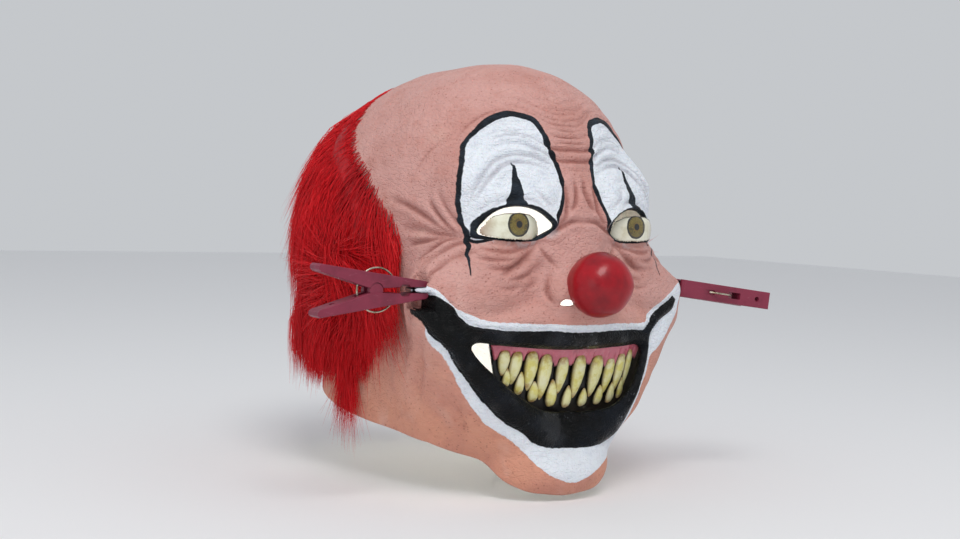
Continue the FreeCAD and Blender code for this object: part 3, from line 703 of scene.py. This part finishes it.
    # Painted glints: small light-grey specks in patches over the black.
    glint_zone = n.ramp(n.noise(30, 2), 0.56, 0.68)
    painted_glints = n.ramp(n.noise(620, 5, 0.75, n.stretch((1, 1, 0.5))), 0.6, 0.66)
    painted_glints = n.times(n.times(painted_glints, glint_zone), 0.75)
    black = n.mix(painted_glints, black, srgb(168, 172, 180))
    colour = n.mix(lips, colour, black)
    lining = n.times(n.attribute("lining"), n.ramp(n.attribute("mouth_edge"), 1.5, 4.0))
    lining = n.times(lining, n.ramp(n.attribute("eye_edge"), 0.8, 2.0))
    colour = n.mix(lining, colour, srgb(242, 238, 230))
    put("Base Color", colour)

    rough = n.ramp(n.noise(70, 4), 0.3, 0.7, 0.5, 0.62)
    rough = n.blend(whites, rough, 0.6)
    rough = n.blend(dark, rough, 0.5)
    rough = n.blend(lips, rough, n.ramp(n.noise(160, 4, 0.6), 0.35, 0.7, 0.3, 0.5))
    put("Roughness", rough)
    put("Coat Weight", n.times(lips, n.ramp(n.noise(45, 3), 0.5, 0.64, 0.0, 0.4)))
    put("Coat Roughness", 0.11)

    pores = n.cells(750)
    grain = n.noise(420, 4, 0.65)
    wrinkle = n.cells(170, n.stretch((1, 1, 1.9)), "DISTANCE_TO_EDGE")
    fine = n.plus(n.times(grain, 0.5), n.times(n.ramp(pores, 0.0, 0.5), 0.22))
    fine = n.plus(fine, n.times(n.ramp(wrinkle, 0.0, 0.16), 0.16))
    fine = n.plus(fine, n.times(streak, n.times(whites, 0.35)))
    fine = n.plus(fine, n.times(n.noise(130, 3), 0.9))
    lines = n.noise(1.0, 4, 0.6, n.stretch((22, 22, 210)), 0.6)
    brow = n.times(n.ramp(height, 0.012, 0.04), n.ramp(n.attribute("outward"), 0.085, 0.05))
    fine = n.plus(fine, n.times(n.times(lines, brow), 1.5))
    normal = n.bump(fine, 0.85, 0.0018)
    put("Normal", normal)
    put("Subsurface Weight", 0.06)
    put("Subsurface Radius", (0.006, 0.0025, 0.0015))
    put("Subsurface Scale", 0.5)
    put("Specular IOR Level", 0.16)
    return material


def nose_material():
    material, n, put = new_material("nose_red_paint")
    colour = n.mix(n.ramp(n.noise(38, 4, 0.6), 0.4, 0.7), srgb(166, 4, 24), srgb(128, 3, 20))
    colour = n.stain(colour, n.noise(210, 4, 0.7), 0.55, 0.75, 0.3, (190, 24, 40))
    put("Base Color", colour)
    put("Roughness", n.ramp(n.noise(60, 4), 0.35, 0.7, 0.3, 0.42))
    put("Specular IOR Level", 0.3)
    put("Coat Weight", n.ramp(n.noise(25, 2), 0.4, 0.6, 0.05, 0.2))
    put("Coat Roughness", 0.1)
    put("Normal", n.bump(n.plus(n.noise(110, 3), n.times(n.noise(420, 2), 0.3)), 0.25, 0.001))
    return material


def eye_material():
    material, n, put = new_material("painted_eye")
    r = n.attribute("iris")
    white = n.mix(n.ramp(n.noise(160, 4, 0.6), 0.4, 0.75), srgb(236, 235, 214), srgb(212, 206, 176))
    white = n.stain(white, n.attribute("corner"), 0.55, 1.05, 0.8, (150, 104, 78))
    polar = n.add("CombineXYZ", {"X": n.times(n.attribute("turn"), 1.4), "Y": n.times(r, 0.02)})
    spokes = n.noise(14, 4, 0.8, polar.outputs["Vector"])
    iris = n.mix(n.ramp(spokes, 0.4, 0.62), srgb(66, 54, 14), srgb(150, 132, 50))
    iris = n.stain(iris, n.noise(240, 4, 0.7), 0.5, 0.66, 0.75, (46, 38, 12))
    iris = n.stain(iris, r, 3.6, 2.4, 0.7, (112, 86, 24))
    iris = n.mix(n.ramp(r, 5.9, 7.3), iris, srgb(18, 18, 10))
    iris = n.mix(n.ramp(r, 2.35, 2.05), iris, srgb(6, 6, 6))
    edge = n.plus(r, n.times(n.calc("SUBTRACT", n.noise(400, 2), 0.5), 0.8))
    colour = n.mix(n.ramp(edge, 8.1, 7.6), white, iris)
    colour = n.stain(colour, n.attribute("rim"), 1.0, 0.1, 0.85, (60, 44, 34))
    put("Base Color", colour)
    put("Roughness", n.ramp(n.noise(80, 3), 0.3, 0.7, 0.14, 0.28))
    put("Coat Weight", n.ramp(n.noise(50, 2), 0.3, 0.7, 0.6, 0.9))
    put("Coat Roughness", 0.07)
    put("Normal", n.bump(n.noise(200, 3), 0.06, 0.001))
    return material


def gum_material():
    material, n, put = new_material("gum_pink")
    colour = n.mix(n.ramp(n.noise(70, 4, 0.6), 0.4, 0.7), srgb(206, 104, 122), srgb(176, 78, 96))
    colour = n.stain(colour, n.noise(300, 4), 0.55, 0.7, 0.4, (212, 132, 140))
    colour = n.stain(colour, n.attribute("root"), 1.6, 0.0, 0.85, (58, 20, 26))
    put("Base Color", colour)
    put("Roughness", n.ramp(n.noise(90, 3), 0.3, 0.7, 0.22, 0.4))
    put("Coat Weight", n.ramp(n.noise(40, 2), 0.3, 0.7, 0.4, 0.7))
    put("Normal", n.bump(n.noise(220, 4), 0.3, 0.001))
    return material


def tooth_material():
    material, n, put = new_material("stained_tooth")
    share = n.attribute("along")
    patches = n.noise(150, 4, 0.6)
    colour = n.mix(n.ramp(patches, 0.4, 0.65), srgb(240, 236, 176), srgb(226, 216, 118))
    colour = n.stain(colour, n.noise(90, 3), 0.5, 0.7, 0.6, (244, 242, 208))
    stain = n.times(n.calc("SUBTRACT", n.noise(210, 4, 0.7), 0.5), 0.7)
    stain = n.plus(n.calc("ABSOLUTE", n.calc("SUBTRACT", share, 0.5)), stain)
    colour = n.stain(colour, stain, 0.24, 0.56, 0.8, (160, 100, 18))
    colour = n.stain(colour, n.attribute("flank"), 0.6, 0.86, 0.5, (150, 110, 34))
    colour = n.stain(colour, n.attribute("flank"), 0.8, 1.0, 0.97, (34, 26, 10))
    put("Base Color", colour)
    put("Roughness", n.ramp(n.noise(130, 3), 0.3, 0.7, 0.24, 0.42))
    put("Coat Weight", n.ramp(n.noise(70, 2), 0.3, 0.7, 0.3, 0.6))
    streaks = n.noise(240, 4, 0.6, n.stretch((1, 1, 0.3)))
    put("Normal", n.bump(streaks, 0.35, 0.001))
    return material


def mouth_material():
    material, n, put = new_material("mouth_black_paint")
    colour = n.mix(n.ramp(n.noise(80, 4), 0.4, 0.7), srgb(12, 10, 10), srgb(30, 26, 22))
    put("Base Color", colour)
    put("Roughness", n.ramp(n.noise(120, 3), 0.3, 0.7, 0.3, 0.55))
    put("Normal", n.bump(n.noise(300, 4), 0.3, 0.001))
    return material


def plastic_material():
    material, n, put = new_material("maroon_plastic")
    colour = n.mix(n.ramp(n.noise(45, 4, 0.6), 0.35, 0.7), srgb(136, 44, 68), srgb(110, 32, 54))
    scuffs = n.ramp(n.noise(520, 4, 0.7, n.stretch((0.3, 1, 1))), 0.6, 0.72, 0, 0.4)
    colour = n.mix(scuffs, colour, srgb(176, 98, 118))
    put("Base Color", colour)
    put("Roughness", n.ramp(n.noise(160, 4), 0.3, 0.7, 0.34, 0.52))
    put("Specular IOR Level", 0.45)
    put("Normal", n.bump(n.plus(n.noise(260, 3), n.times(n.noise(1400, 2), 0.3)), 0.16, 0.001))
    return material


def wire_material():
    material, n, put = new_material("nickel_wire")
    colour = n.mix(n.ramp(n.noise(300, 4), 0.45, 0.7), srgb(196, 188, 170), srgb(150, 136, 112))
    put("Base Color", colour)
    put("Metallic", 1.0)
    put("Roughness", n.ramp(n.noise(400, 3), 0.3, 0.7, 0.18, 0.36))
    put("Normal", n.bump(n.noise(1200, 2), 0.1, 0.0005))
    return material


def fur_material(name, dark):
    material, n, put = new_material(name)
    tint = n.attribute("tint")
    along = n.attribute("reach")
    colour = n.mix(n.ramp(tint, 0.0, 1.0, smooth=False), srgb(190, 4, 16), srgb(240, 18, 32))
    # Painted shade: each strand darkens towards its root, deep in the pile.
    colour = n.mix(n.ramp(along, 0.0, 0.35, 0.4, 0), colour, srgb(150, 0, 12))
    colour = n.stain(colour, n.noise(26, 3), 0.5, 0.7, 0.3, (166, 0, 16))
    colour = n.stain(colour, tint, 0.88, 1.0, 0.5, (240, 70, 70))
    if dark:
        # The under-layer is a darker red than the strands: painted shade for the depths of the pile.
        hairs = n.noise(700, 4, 0.7, n.stretch((1, 1, 0.07)))
        colour = n.mix(n.ramp(hairs, 0.4, 0.65, 0, 0.8), srgb(158, 0, 12), srgb(206, 8, 22))
        put("Normal", n.bump(hairs, 0.8, 0.002))
    put("Base Color", colour)
    put("Roughness", n.ramp(tint, 0.0, 1.0, 0.42, 0.6))
    put("Specular IOR Level", 0.35)
    return material


# ------------------------------------------------------------------ the skin
latex = latex_material()
skin_piece = build_skin([latex])
mark_skin(skin_piece)
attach(skin_piece, "mask")
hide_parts("mask_skin")


def apply_all(piece):
    bpy.context.view_layer.objects.active = piece
    for modifier in list(piece.modifiers):
        bpy.ops.object.modifier_apply(modifier=modifier.name)


def settle(piece, name, material, body="mask", node=None):
    """Name a new piece, put its place into its mesh and hang it on its body."""
    piece.name = name
    piece.data.name = name
    bpy.ops.object.transform_apply(location=True, rotation=True, scale=True)
    piece.data.materials.clear()
    piece.data.materials.append(material)
    piece.data.polygons.foreach_set("use_smooth", [True] * len(piece.data.polygons))
    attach(piece, body)
    if node:
        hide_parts(node)
    piece.select_set(False)
    return piece


FOLD_VALUES = {
    "white_band": 20.0, "black_lips": -5.0, "patch": 20.0, "spike": 20.0, "tear": 20.0,
    "outward": 0.1, "mouth_edge": 20.0, "eye_edge": 20.0, "lining": 0.0, "shade_in_creases": 0.1,
}


def fold_piece(name, low, high):
    """The flat tongue of latex that a jaw holds."""
    low, high = np.array(low) * MM, np.array(high) * MM
    bpy.ops.mesh.primitive_cube_add(size=1, location=(low + high) / 2)
    piece = bpy.context.object
    piece.scale = high - low
    bpy.ops.object.transform_apply(location=False, rotation=False, scale=True)
    bevel = piece.modifiers.new("soft_edges", "BEVEL")
    bevel.width = 0.0008
    bevel.segments = 3
    apply_all(piece)
    settle(piece, name, latex)
    p = points_of(piece.data)
    for key, value in FOLD_VALUES.items():
        set_values(piece.data, key, np.full(len(p), value))
    return piece


fold_piece("right_fold", (-108, -89, -39.2), (-92, -79, -36.8))
fold_piece("left_fold", (103, -85.2, -43), (119, -82.8, -33))

# ------------------------------------------------------------------ the nose ball
NOSE_CENTRE = np.array([0, -134, -32])
bpy.ops.mesh.primitive_uv_sphere_add(
    segments=96, ring_count=64, radius=0.0205, location=NOSE_CENTRE * MM
)
nose = settle(bpy.context.object, "nose_ball_red", nose_material(), node="nose_ball")
dents = points_of(nose.data)
lumps = 0.35 * np.sin(dents[:, 0] * 0.22 + 1) * np.sin(dents[:, 2] * 0.25)
lumps += 0.2 * np.sin(dents[:, 1] * 0.5)
away = dents - NOSE_CENTRE
away /= np.linalg.norm(away, axis=1, keepdims=True)
nose.data.vertices.foreach_set("co", ((dents + away * lumps[:, None]) * MM).ravel())


# ------------------------------------------------------------------ the eye inserts
def eye_insert(side, name, node):
    """Domed shell behind the lids, cut along its top so that a slit is left to see through."""
    bpy.ops.mesh.primitive_uv_sphere_add(
        segments=128, ring_count=96, radius=0.029, location=(side * 0.046, -0.0825, 0.002),
        rotation=(math.pi / 2, 0, 0),
    )
    piece = bpy.context.object
    bpy.ops.object.transform_apply(location=True, rotation=True, scale=True)
    p = points_of(piece.data)
    flat = np.stack([np.abs(p[:, 0]), p[:, 2]], 1)
    lid = np.interp(flat[:, 0], *INSERT_TOP)
    bpy.ops.object.mode_set(mode="EDIT")
    bpy.ops.mesh.select_all(action="DESELECT")
    bpy.ops.object.mode_set(mode="OBJECT")
    off = (p[:, 1] > -88) | (p[:, 2] > lid + 0.6) | (outline_gap(flat, EYE_HOLE) > 0.4)
    piece.data.vertices.foreach_set("select", off)
    bpy.ops.object.mode_set(mode="EDIT")
    bpy.ops.mesh.delete(type="VERT")
    bpy.ops.object.mode_set(mode="OBJECT")
    p = points_of(piece.data)
    lid = np.interp(np.abs(p[:, 0]), *INSERT_TOP)
    over = p[:, 2] > lid - 0.5
    p[over, 2] = lid[over]
    piece.data.vertices.foreach_set("co", (p * MM).ravel())
    wall = piece.modifiers.new("wall", "SOLIDIFY")
    wall.thickness = 0.0025
    wall.offset = -1
    apply_all(piece)
    settle(piece, name, eye, node=node)
    p = points_of(piece.data)
    centre = (side * IRIS[0], IRIS[1])
    dx, dz = p[:, 0] - centre[0], p[:, 2] - centre[1]
    set_values(piece.data, "iris", np.hypot(dx, dz))
    set_values(piece.data, "turn", np.arctan2(dz, dx) * 4)
    set_values(piece.data, "corner", np.abs(np.abs(p[:, 0]) - 46) / 24)
    set_values(piece.data, "rim", lid_gap(p))
    return piece


def lid_gap(p):
    lid = np.interp(np.abs(p[:, 0]), *INSERT_TOP)
    return np.abs(lid - p[:, 2])


IRIS = (47, 3.9)
eye = eye_material()
eye_insert(-1, "right_eye_insert", "right_eye")
eye_insert(1, "left_eye_insert", "left_eye")

# ------------------------------------------------------------------ tooth panel, gum and teeth
# Each tooth: place along the arc, root height, length, width, lean of its tip.
UPPER_TEETH = [
    (-48.5, -76, 15.5, 8, 0.8), (-39.2, -77, 20.5, 8.5, -0.6), (-28.2, -77, 25, 9.5, 0.9),
    (-17.2, -79, 29.5, 10, 0.5), (-3.5, -81, 24, 9, 0.2), (10.2, -80.5, 28, 10, -0.3),
    (25, -81, 27.5, 10.5, -1.2), (37, -83, 24, 8.5, -1.5), (46.5, -80.5, 26, 8, -1.4),
    (54, -78, 26, 5.5, -1.0),
]
LOWER_TEETH = [
    (-43.8, -99, 12.5, 5.5, -0.5), (-34, -104.5, 15.5, 6.5, 0.4), (-22.5, -109.5, 14, 7.5, -0.3),
    (-8, -113.3, 18.5, 8, -0.8), (4.5, -114.5, 15, 7, 0.4), (17.8, -114.5, 12.5, 7, 0.6),
    (31, -114, 13.5, 7, 1.2), (41.6, -113.5, 14.5, 6.5, 1.4), (50.4, -111, 15, 5, 1.0),
]


def panel_radius(z):
    return 400 + 0.23 * (z + 74)


def panel_place(along, z, proud=0.0):
    radius = panel_radius(z)
    turn = along / radius
    return (radius + proud) * np.sin(turn), 295 - (radius + proud) * np.cos(turn)


def curved_plate(name, low, high, half, proud, wall, columns, rows, material, node):
    """A plate on the panel's cone: a grid bent round it and thickened inwards."""
    bpy.ops.mesh.primitive_grid_add(x_subdivisions=columns, y_subdivisions=rows, size=2)
    piece = bpy.context.object
    g = points_of(piece.data) * MM
    z = low + (g[:, 1] + 1) / 2 * (high - low)
    along = np.maximum(g[:, 0] * half, -57.5 - (z + 75) * 0.34)
    x, y = panel_place(along, z, proud)
    piece.data.vertices.foreach_set("co", (np.stack([x, y, z], 1) * MM).ravel())
    modifier = piece.modifiers.new("wall", "SOLIDIFY")
    modifier.thickness = wall * MM
    modifier.offset = -1
    apply_all(piece)
    return settle(piece, name, material, node=node)


curved_plate(
    "tooth_backing", -125.5, -69.5, 68, 0.0, 2.5, 80, 36, mouth_material(),
    "tooth_panel",
)
gum = curved_plate(
    "upper_gum_strip", -86, -71.5, 60, 2.4, 2.4, 224, 28, gum_material(), "upper_gum"
)
g = points_of(gum.data)
turn = np.arctan2(g[:, 0], 295 - g[:, 1])
arc = turn * panel_radius(g[:, 2])
places, tops, widths = (np.array([t[i] for t in UPPER_TEETH]) for i in (0, 1, 3))
away = np.abs(arc[:, None] - places[None])
which = away.argmin(1)
off = away[np.arange(len(arc)), which] / (widths[which] / 2)
scallop = tops[which] - 5.0 + 4.4 * np.sqrt(np.clip(1 - np.minimum(off, 1) ** 2, 0, 1))
scallop -= 1.2 * np.clip(off - 1, 0, 1)
share = np.clip((g[:, 2] + 86) / 14.5, 0, 1)
new_z = scallop + (-71.5 - scallop) * share
swell = 0.8 * np.cos(np.pi * np.clip(off, 0, 1)) * np.clip(1.2 - 2 * share, 0, 1)
radial = np.stack([np.sin(turn), -np.cos(turn), 0 * turn], 1)
g[:, 2] = new_z
g += radial * (swell + 0.5 * np.sin(np.pi * share))[:, None]
gum.data.vertices.foreach_set("co", (g * MM).ravel())
set_values(gum.data, "root", np.abs(new_z - scallop))


def one_tooth():
    """A pointed almond: a sphere drawn out along Z, root at zero and tip at one."""
    bpy.ops.mesh.primitive_uv_sphere_add(segments=20, ring_count=22, radius=1)
    piece = bpy.context.object
    p = points_of(piece.data) * MM
    faces = [list(f.vertices) for f in piece.data.polygons]
    bpy.data.objects.remove(piece)
    share = (1 - p[:, 2]) / 2
    girth = np.interp(
        share,
        [0, 0.02, 0.08, 0.22, 0.42, 0.65, 0.85, 0.96, 1],
        [0.2, 0.42, 0.72, 0.96, 1.0, 0.82, 0.5, 0.24, 0.02],
    )
    around = np.arctan2(p[:, 1], p[:, 0])
    return np.cos(around) * girth, np.sin(around) * girth, share, faces


def tooth_row(name, rows, material, node):
    u, v, share, shape = one_tooth()
    points, faces, marks, flanks = [], [], [], []
    for along, root, tip, width, lean in rows:
        z = root + (tip - root) * share
        proud = 1.2 - v * width * 0.34 * (v < 0) - 0.4
        x, y = panel_place(along + u * width / 2 + lean * share, z, proud)
        base = sum(len(p) for p in points)
        points.append(np.stack([x, y, z], 1))
        order = 1 if tip < root else -1
        faces += [[base + i for i in f][::order] for f in shape]
        marks.append(share)
        flanks.append(np.abs(u) / (np.hypot(u, v) + 1e-6))
    piece = make_object(name, np.vstack(points), faces, [material])
    set_values(piece.data, "along", np.concatenate(marks))
    set_values(piece.data, "flank", np.concatenate(flanks))
    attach(piece, "mask")
    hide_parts(node)
    return piece


ivory = tooth_material()
upper = [
    (x, top + 1.5, top - length, width * 1.12, lean) for x, top, length, width, lean in UPPER_TEETH
]
lower = [
    (x, foot, foot + length, width * 1.15, lean) for x, foot, length, width, lean in LOWER_TEETH
]
tooth_row("upper_teeth_row", upper, ivory, "upper_teeth")
tooth_row("lower_teeth_row", lower, ivory, "lower_teeth")


# ------------------------------------------------------------------ faux fur
# Height and depth of the fur's front edge, and height and thickness of its pile.
HAIRLINE = [
    (-123, 9), (-112, 7), (-98, 1), (-70, -11), (-50, -18), (-33, -29), (-19, -39), (-10, -37),
    (9, -31), (28, -14), (41, 0), (55, 19), (66, 32), (81, 41), (86, 40), (90, 40), (97, 60),
]
PILE = [
    (-118, 0.0), (-100, 1.0), (-88, 4), (-77, 8), (-64, 15), (-50, 22), (-30, 23.5), (-2, 18),
    (27, 14), (41, 12.5), (66, 9.5), (77, 8), (90, 2.5), (97, 0.2),
]



def pile_depth(p):
    z = p[:, 2]
    full = np.interp(z, [a for a, _ in PILE], [b for _, b in PILE])
    front = np.interp(z, [a for a, _ in HAIRLINE], [b for _, b in HAIRLINE])
    into = p[:, 1] - front
    return full * np.clip(into / 22 + 0.12, 0, 1) ** 0.6, into


def hair_flow(p, normal):
    """Which way the pile lies: down and back, turning in a swirl over the ear."""
    side = np.sign(p[:, 0])
    down = np.stack([0 * side, 0.45 + 0 * side, -1 + 0 * side], 1)
    top = np.clip((p[:, 2] - 35) / 45, 0, 1)[:, None]
    flow = down * (1 - top) + np.stack([side * 0.25, 0.5 + 0 * side, -0.95 + 0 * side], 1) * top
    swirl = np.stack([0 * side, p[:, 1] + 6, p[:, 2] + 28], 1)
    near = np.exp(-(swirl**2).sum(1) / 26**2)[:, None]
    spin = np.stack([0 * side, -swirl[:, 2], swirl[:, 1]], 1) / 18
    flow = flow * (1 - 0.8 * near) + spin * near * 1.2
    low = np.clip((-60 - p[:, 2]) / 40, 0, 1)[:, None]
    flow = flow + low * np.array([0, -0.55, -0.4])
    flow -= normal * (flow * normal).sum(1)[:, None]
    return flow / (np.linalg.norm(flow, axis=1, keepdims=True) + 1e-9)


def wave3(p, scale, seed):
    """Cheap smooth noise, three values at each point."""
    source = np.random.default_rng(seed)
    total = np.zeros((len(p), 3))
    for _ in range(5):
        direction = source.normal(size=(3, 3)) / scale
        phase = source.uniform(0, 6.28, 3)
        total += np.sin(p @ direction.T + phase)
    return total / 2.2


BATCH = 8000


def scatter_roots(count, wanted):
    """Random places over the hair-bearing part of the head."""
    kept = []
    while sum(len(k) for k in kept) < count:
        angle = np.radians(rng.uniform(-180, 180, BATCH))
        z = rng.uniform(-123, 97, BATCH)
        ahead = level_rays(angle)
        p = ring_at(z, ahead, head)
        weight = np.hypot(p[:, 0], p[:, 1]) / 125
        _, into = pile_depth(p)
        fine = into > -1.0 - 5 * rng.random(BATCH) ** 3
        fine &= z > -92 + 14 * rng.random(BATCH)
        fine &= (rng.random(BATCH) < weight) & wanted(p)
        kept.append(p[fine])
    return np.vstack(kept)[:count]


def fur_base():
    """Closed lumpy mass under the loose strands, coloured darker as painted shade for the depths of
    the pile.
    """
    heights = np.linspace(-86, 94, 60)
    angles = np.radians(np.linspace(-180, 180, 145)[:-1])
    ahead = level_rays(angles)
    shell, into_fur = [], []
    for z in heights:
        p = ring_at(z, ahead, head)
        depth, into = pile_depth(p)
        depth = depth * (0.62 + 0.16 * wave3(p, 16, 5)[:, 0]) * np.clip((into - 6) / 14, 0, 1)
        shell.append(p + ahead * np.maximum(depth, 0.0)[:, None])
        into_fur.append(into)
    shell, into_fur = np.array(shell), np.array(into_fur)
    rows, columns = shell.shape[:2]
    inner = np.array([ring_at(z, ahead, head) - ahead for z in heights])
    count = rows * columns
    quads = quads_of(np.arange(count).reshape(rows, columns))
    quads = quads[into_fur.reshape(-1)[quads].min(1) > 7]
    walls = [(b, a, a + count, b + count) for a, b in open_edges(quads, count)]
    faces = quads.tolist() + (quads[:, ::-1] + count).tolist() + walls
    points = np.vstack([shell.reshape(-1, 3), inner.reshape(-1, 3)])
    used = np.unique(quads)
    used = np.concatenate([used, used + count])
    points, faces = drop_unused(points, faces, used)
    return make_object("fur_backing", points, faces, [fur_material("fur_underlayer", True)])


def strands(name, roots, material, length=(34, 62), lift=1.0, thick=0.27, loose=1.0, low_end=106):
    """Tapered strands that rise from their roots and lie over along the flow, gathered in locks."""
    normal = slope(roots)
    flow = hair_flow(roots, normal)
    depth, into = pile_depth(roots)
    lock = wave3(roots, 7.5, 21)
    broad = wave3(roots, 26, 3)
    count = len(roots)
    size = rng.uniform(length[0], length[1], count) * (1 + 0.18 * broad[:, 0])
    size *= np.clip(0.3 + into / 16, 0.35, 1)
    floor_room = (roots[:, 2] + low_end) * (0.7 + 0.45 * rng.random(count) ** 2)
    size = np.minimum(size, np.clip(floor_room, 7, 90))
    level = rng.uniform(0.25, 1.0, count) ** 0.6
    height = np.maximum(depth, 0.5) * level * lift * (1 + 0.22 * lock[:, 2]) + 0.3
    bend = lock * 0.13 + broad * 0.36 + rng.normal(size=(count, 3)) * 0.1 * loose
    bend -= normal * (bend * normal).sum(1)[:, None]
    aim = flow + bend
    aim /= np.linalg.norm(aim, axis=1, keepdims=True)
    curl = np.cross(normal, aim) * rng.normal(size=(count, 1)) * 0.16 * loose
    # One draw for each ring of each strand comes before the tints.
    rng.random((5, count))
    sag = np.array([0, 0, -1.0])
    steps = np.array([0, 0.22, 0.5, 0.78, 1.0])
    girth = np.array([0.8, 1.0, 0.85, 0.55, 0.06])
    rings = []
    for t, g in zip(steps, girth):
        out = normal * (height * (1 - (1 - min(t * 1.6, 1)) ** 2) - 0.6)[:, None]
        run = (aim * t + curl * t * t) * size[:, None]
        centre = roots + out + run + sag * (size * 0.16 * t * t)[:, None]
        # Keep the strand outside the head.
        gap = head(centre)
        want = np.maximum(0.4, height * (0.35 + 0.5 * min(t * 1.6, 1)))
        centre = centre + slope(centre) * np.maximum(want - gap, 0)[:, None] * (1 if t > 0.1 else 0)
        over = np.cross(normal, aim)
        width = thick * g
        a = centre + over * width
        b = centre - over * width
        c = centre + normal * width * 1.1
        rings.append(np.stack([a, b, c], 1))
    rings = np.stack(rings, 1).reshape(count, -1, 3)
    local = []
    for k in range(4):
        for i in range(3):
            j = (i + 1) % 3
            local.append((3 * k + i, 3 * k + j, 3 * k + 3 + j, 3 * k + 3 + i))
    local = np.array(local)
    faces = (np.arange(count)[:, None, None] * 15 + local[None]).reshape(-1, 4)
    piece = make_object(name, rings.reshape(-1, 3), faces.tolist(), [material])
    tint = np.clip(0.5 + 0.22 * lock[:, 0] + 0.22 * rng.normal(size=count), 0, 1)
    set_values(piece.data, "tint", np.repeat(tint, 15))
    reach = np.tile(np.repeat(steps, 3), count) * np.repeat(0.4 + 0.6 * level, 15)
    set_values(piece.data, "reach", reach)
    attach(piece, "mask")
    return piece


backing = fur_base()
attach(backing, "mask")
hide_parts("fur_right", "fur_back", "fur_left")
fur = fur_material("fur_red_strands", False)
share = 1.0
COATS = (
    ("right_lower", 0.27, lambda p: (p[:, 0] < -45) & (p[:, 2] < -20)),
    ("right_upper", 0.27, lambda p: (p[:, 0] < -30) & (p[:, 2] >= -22)),
    ("left_lower", 0.27, lambda p: (p[:, 0] > 45) & (p[:, 2] < -20)),
    ("left_upper", 0.27, lambda p: (p[:, 0] > 30) & (p[:, 2] >= -22)),
    ("back", 0.55, lambda p: (np.abs(p[:, 0]) <= 60) & (p[:, 1] > 20)),
)
for place, thick, wanted in COATS:
    strands("fur_strands_" + place, scatter_roots(int(7900 * share), wanted), fur, thick=thick)

# Long wisps that hang below the main mass, over the jaw.
for side, tag in ((-1, "right"), (1, "left")):
    def hanging(p, side=side):
        band = (p[:, 2] < -42) & (p[:, 2] > -84) & (p[:, 1] < 26)
        clump = wave3(p, 9, 40)[:, 0] > 0.25
        return (p[:, 0] * side > 60) & band & clump
    strands(
        f"fur_wisps_{tag}", scatter_roots(int(640 * share), hanging), fur, length=(40, 84),
        lift=0.45, thick=0.2, loose=1.1, low_end=139,
    )

# ------------------------------------------------------------------ pegs
plastic, wire = plastic_material(), wire_material()
for name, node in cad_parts.items():
    if "peg" in name:
        node.data.materials.clear()
        node.data.materials.append(wire if "spring" in name else plastic)

# ------------------------------------------------------------------ floor, light and camera
bpy.ops.mesh.primitive_plane_add(size=6, location=(0, 0, -0.172))
floor = bpy.context.object
floor.name = "floor"
floor_material, _, put = new_material("pale_floor")
put("Base Color", (0.86, 0.86, 0.87, 1))
put("Roughness", 0.8)
floor.data.materials.append(floor_material)

world = bpy.context.scene.world or bpy.data.worlds.new("surroundings")
bpy.context.scene.world = world
world.use_nodes = True
background = next(x for x in world.node_tree.nodes if x.type == "BACKGROUND")
background.inputs["Color"].default_value = (0.93, 0.96, 1.0, 1)
background.inputs["Strength"].default_value = 0.6


def lamp(name, place, aim, size, power, colour=(1, 1, 1)):
    data = bpy.data.lights.new(name, "AREA")
    data.shape = "DISK"
    data.size = size
    data.energy = power
    data.color = colour
    holder = bpy.data.objects.new(name, data)
    bpy.context.scene.collection.objects.link(holder)
    holder.location = place
    holder.rotation_euler = (Vector(aim) - Vector(place)).to_track_quat("-Z", "Y").to_euler()


lamp("key", (-0.5, -1.0, 1.5), (0, 0, -0.03), 0.9, 15, (1.0, 0.99, 0.97))
lamp("fill", (-1.6, -0.5, 0.2), (0, 0, -0.05), 1.2, 2.5)
glow = bpy.data.lights.new("inside", "SPOT")
glow.energy = 1.6
glow.spot_size = math.radians(82)
glow.spot_blend = 0.6
glow.shadow_soft_size = 0.01
glow_holder = bpy.data.objects.new("inside", glow)
bpy.context.scene.collection.objects.link(glow_holder)
glow_holder.location = (-0.035, -0.06, -0.03)
glow_holder.rotation_euler = Vector((0.11, 0.13, -0.012)).to_track_quat("-Z", "Y").to_euler()

camera_data = bpy.data.cameras.new("camera")
camera = bpy.data.objects.new("camera", camera_data)
bpy.context.scene.collection.objects.link(camera)
azimuth, elevation, roll = math.radians(-34), math.radians(3), math.radians(2.1)
right = Vector((math.cos(azimuth), math.sin(azimuth), 0))
ahead = Vector((math.sin(azimuth), -math.cos(azimuth), 0))
back = ahead * math.cos(elevation) + Vector((0, 0, math.sin(elevation)))
up = back.cross(right)
right, up = right * math.cos(roll) + up * math.sin(roll), up * math.cos(roll) - right * math.sin(roll)
matrix = Matrix((right, up, back)).transposed().to_4x4()
matrix.translation = Vector((0, 0, -0.031)) + back * 1.0
camera.matrix_world = matrix
camera_data.lens = 53.6
camera_data.sensor_width = 36
bpy.context.scene.camera = camera
bpy.context.scene.view_settings.view_transform = "Standard"
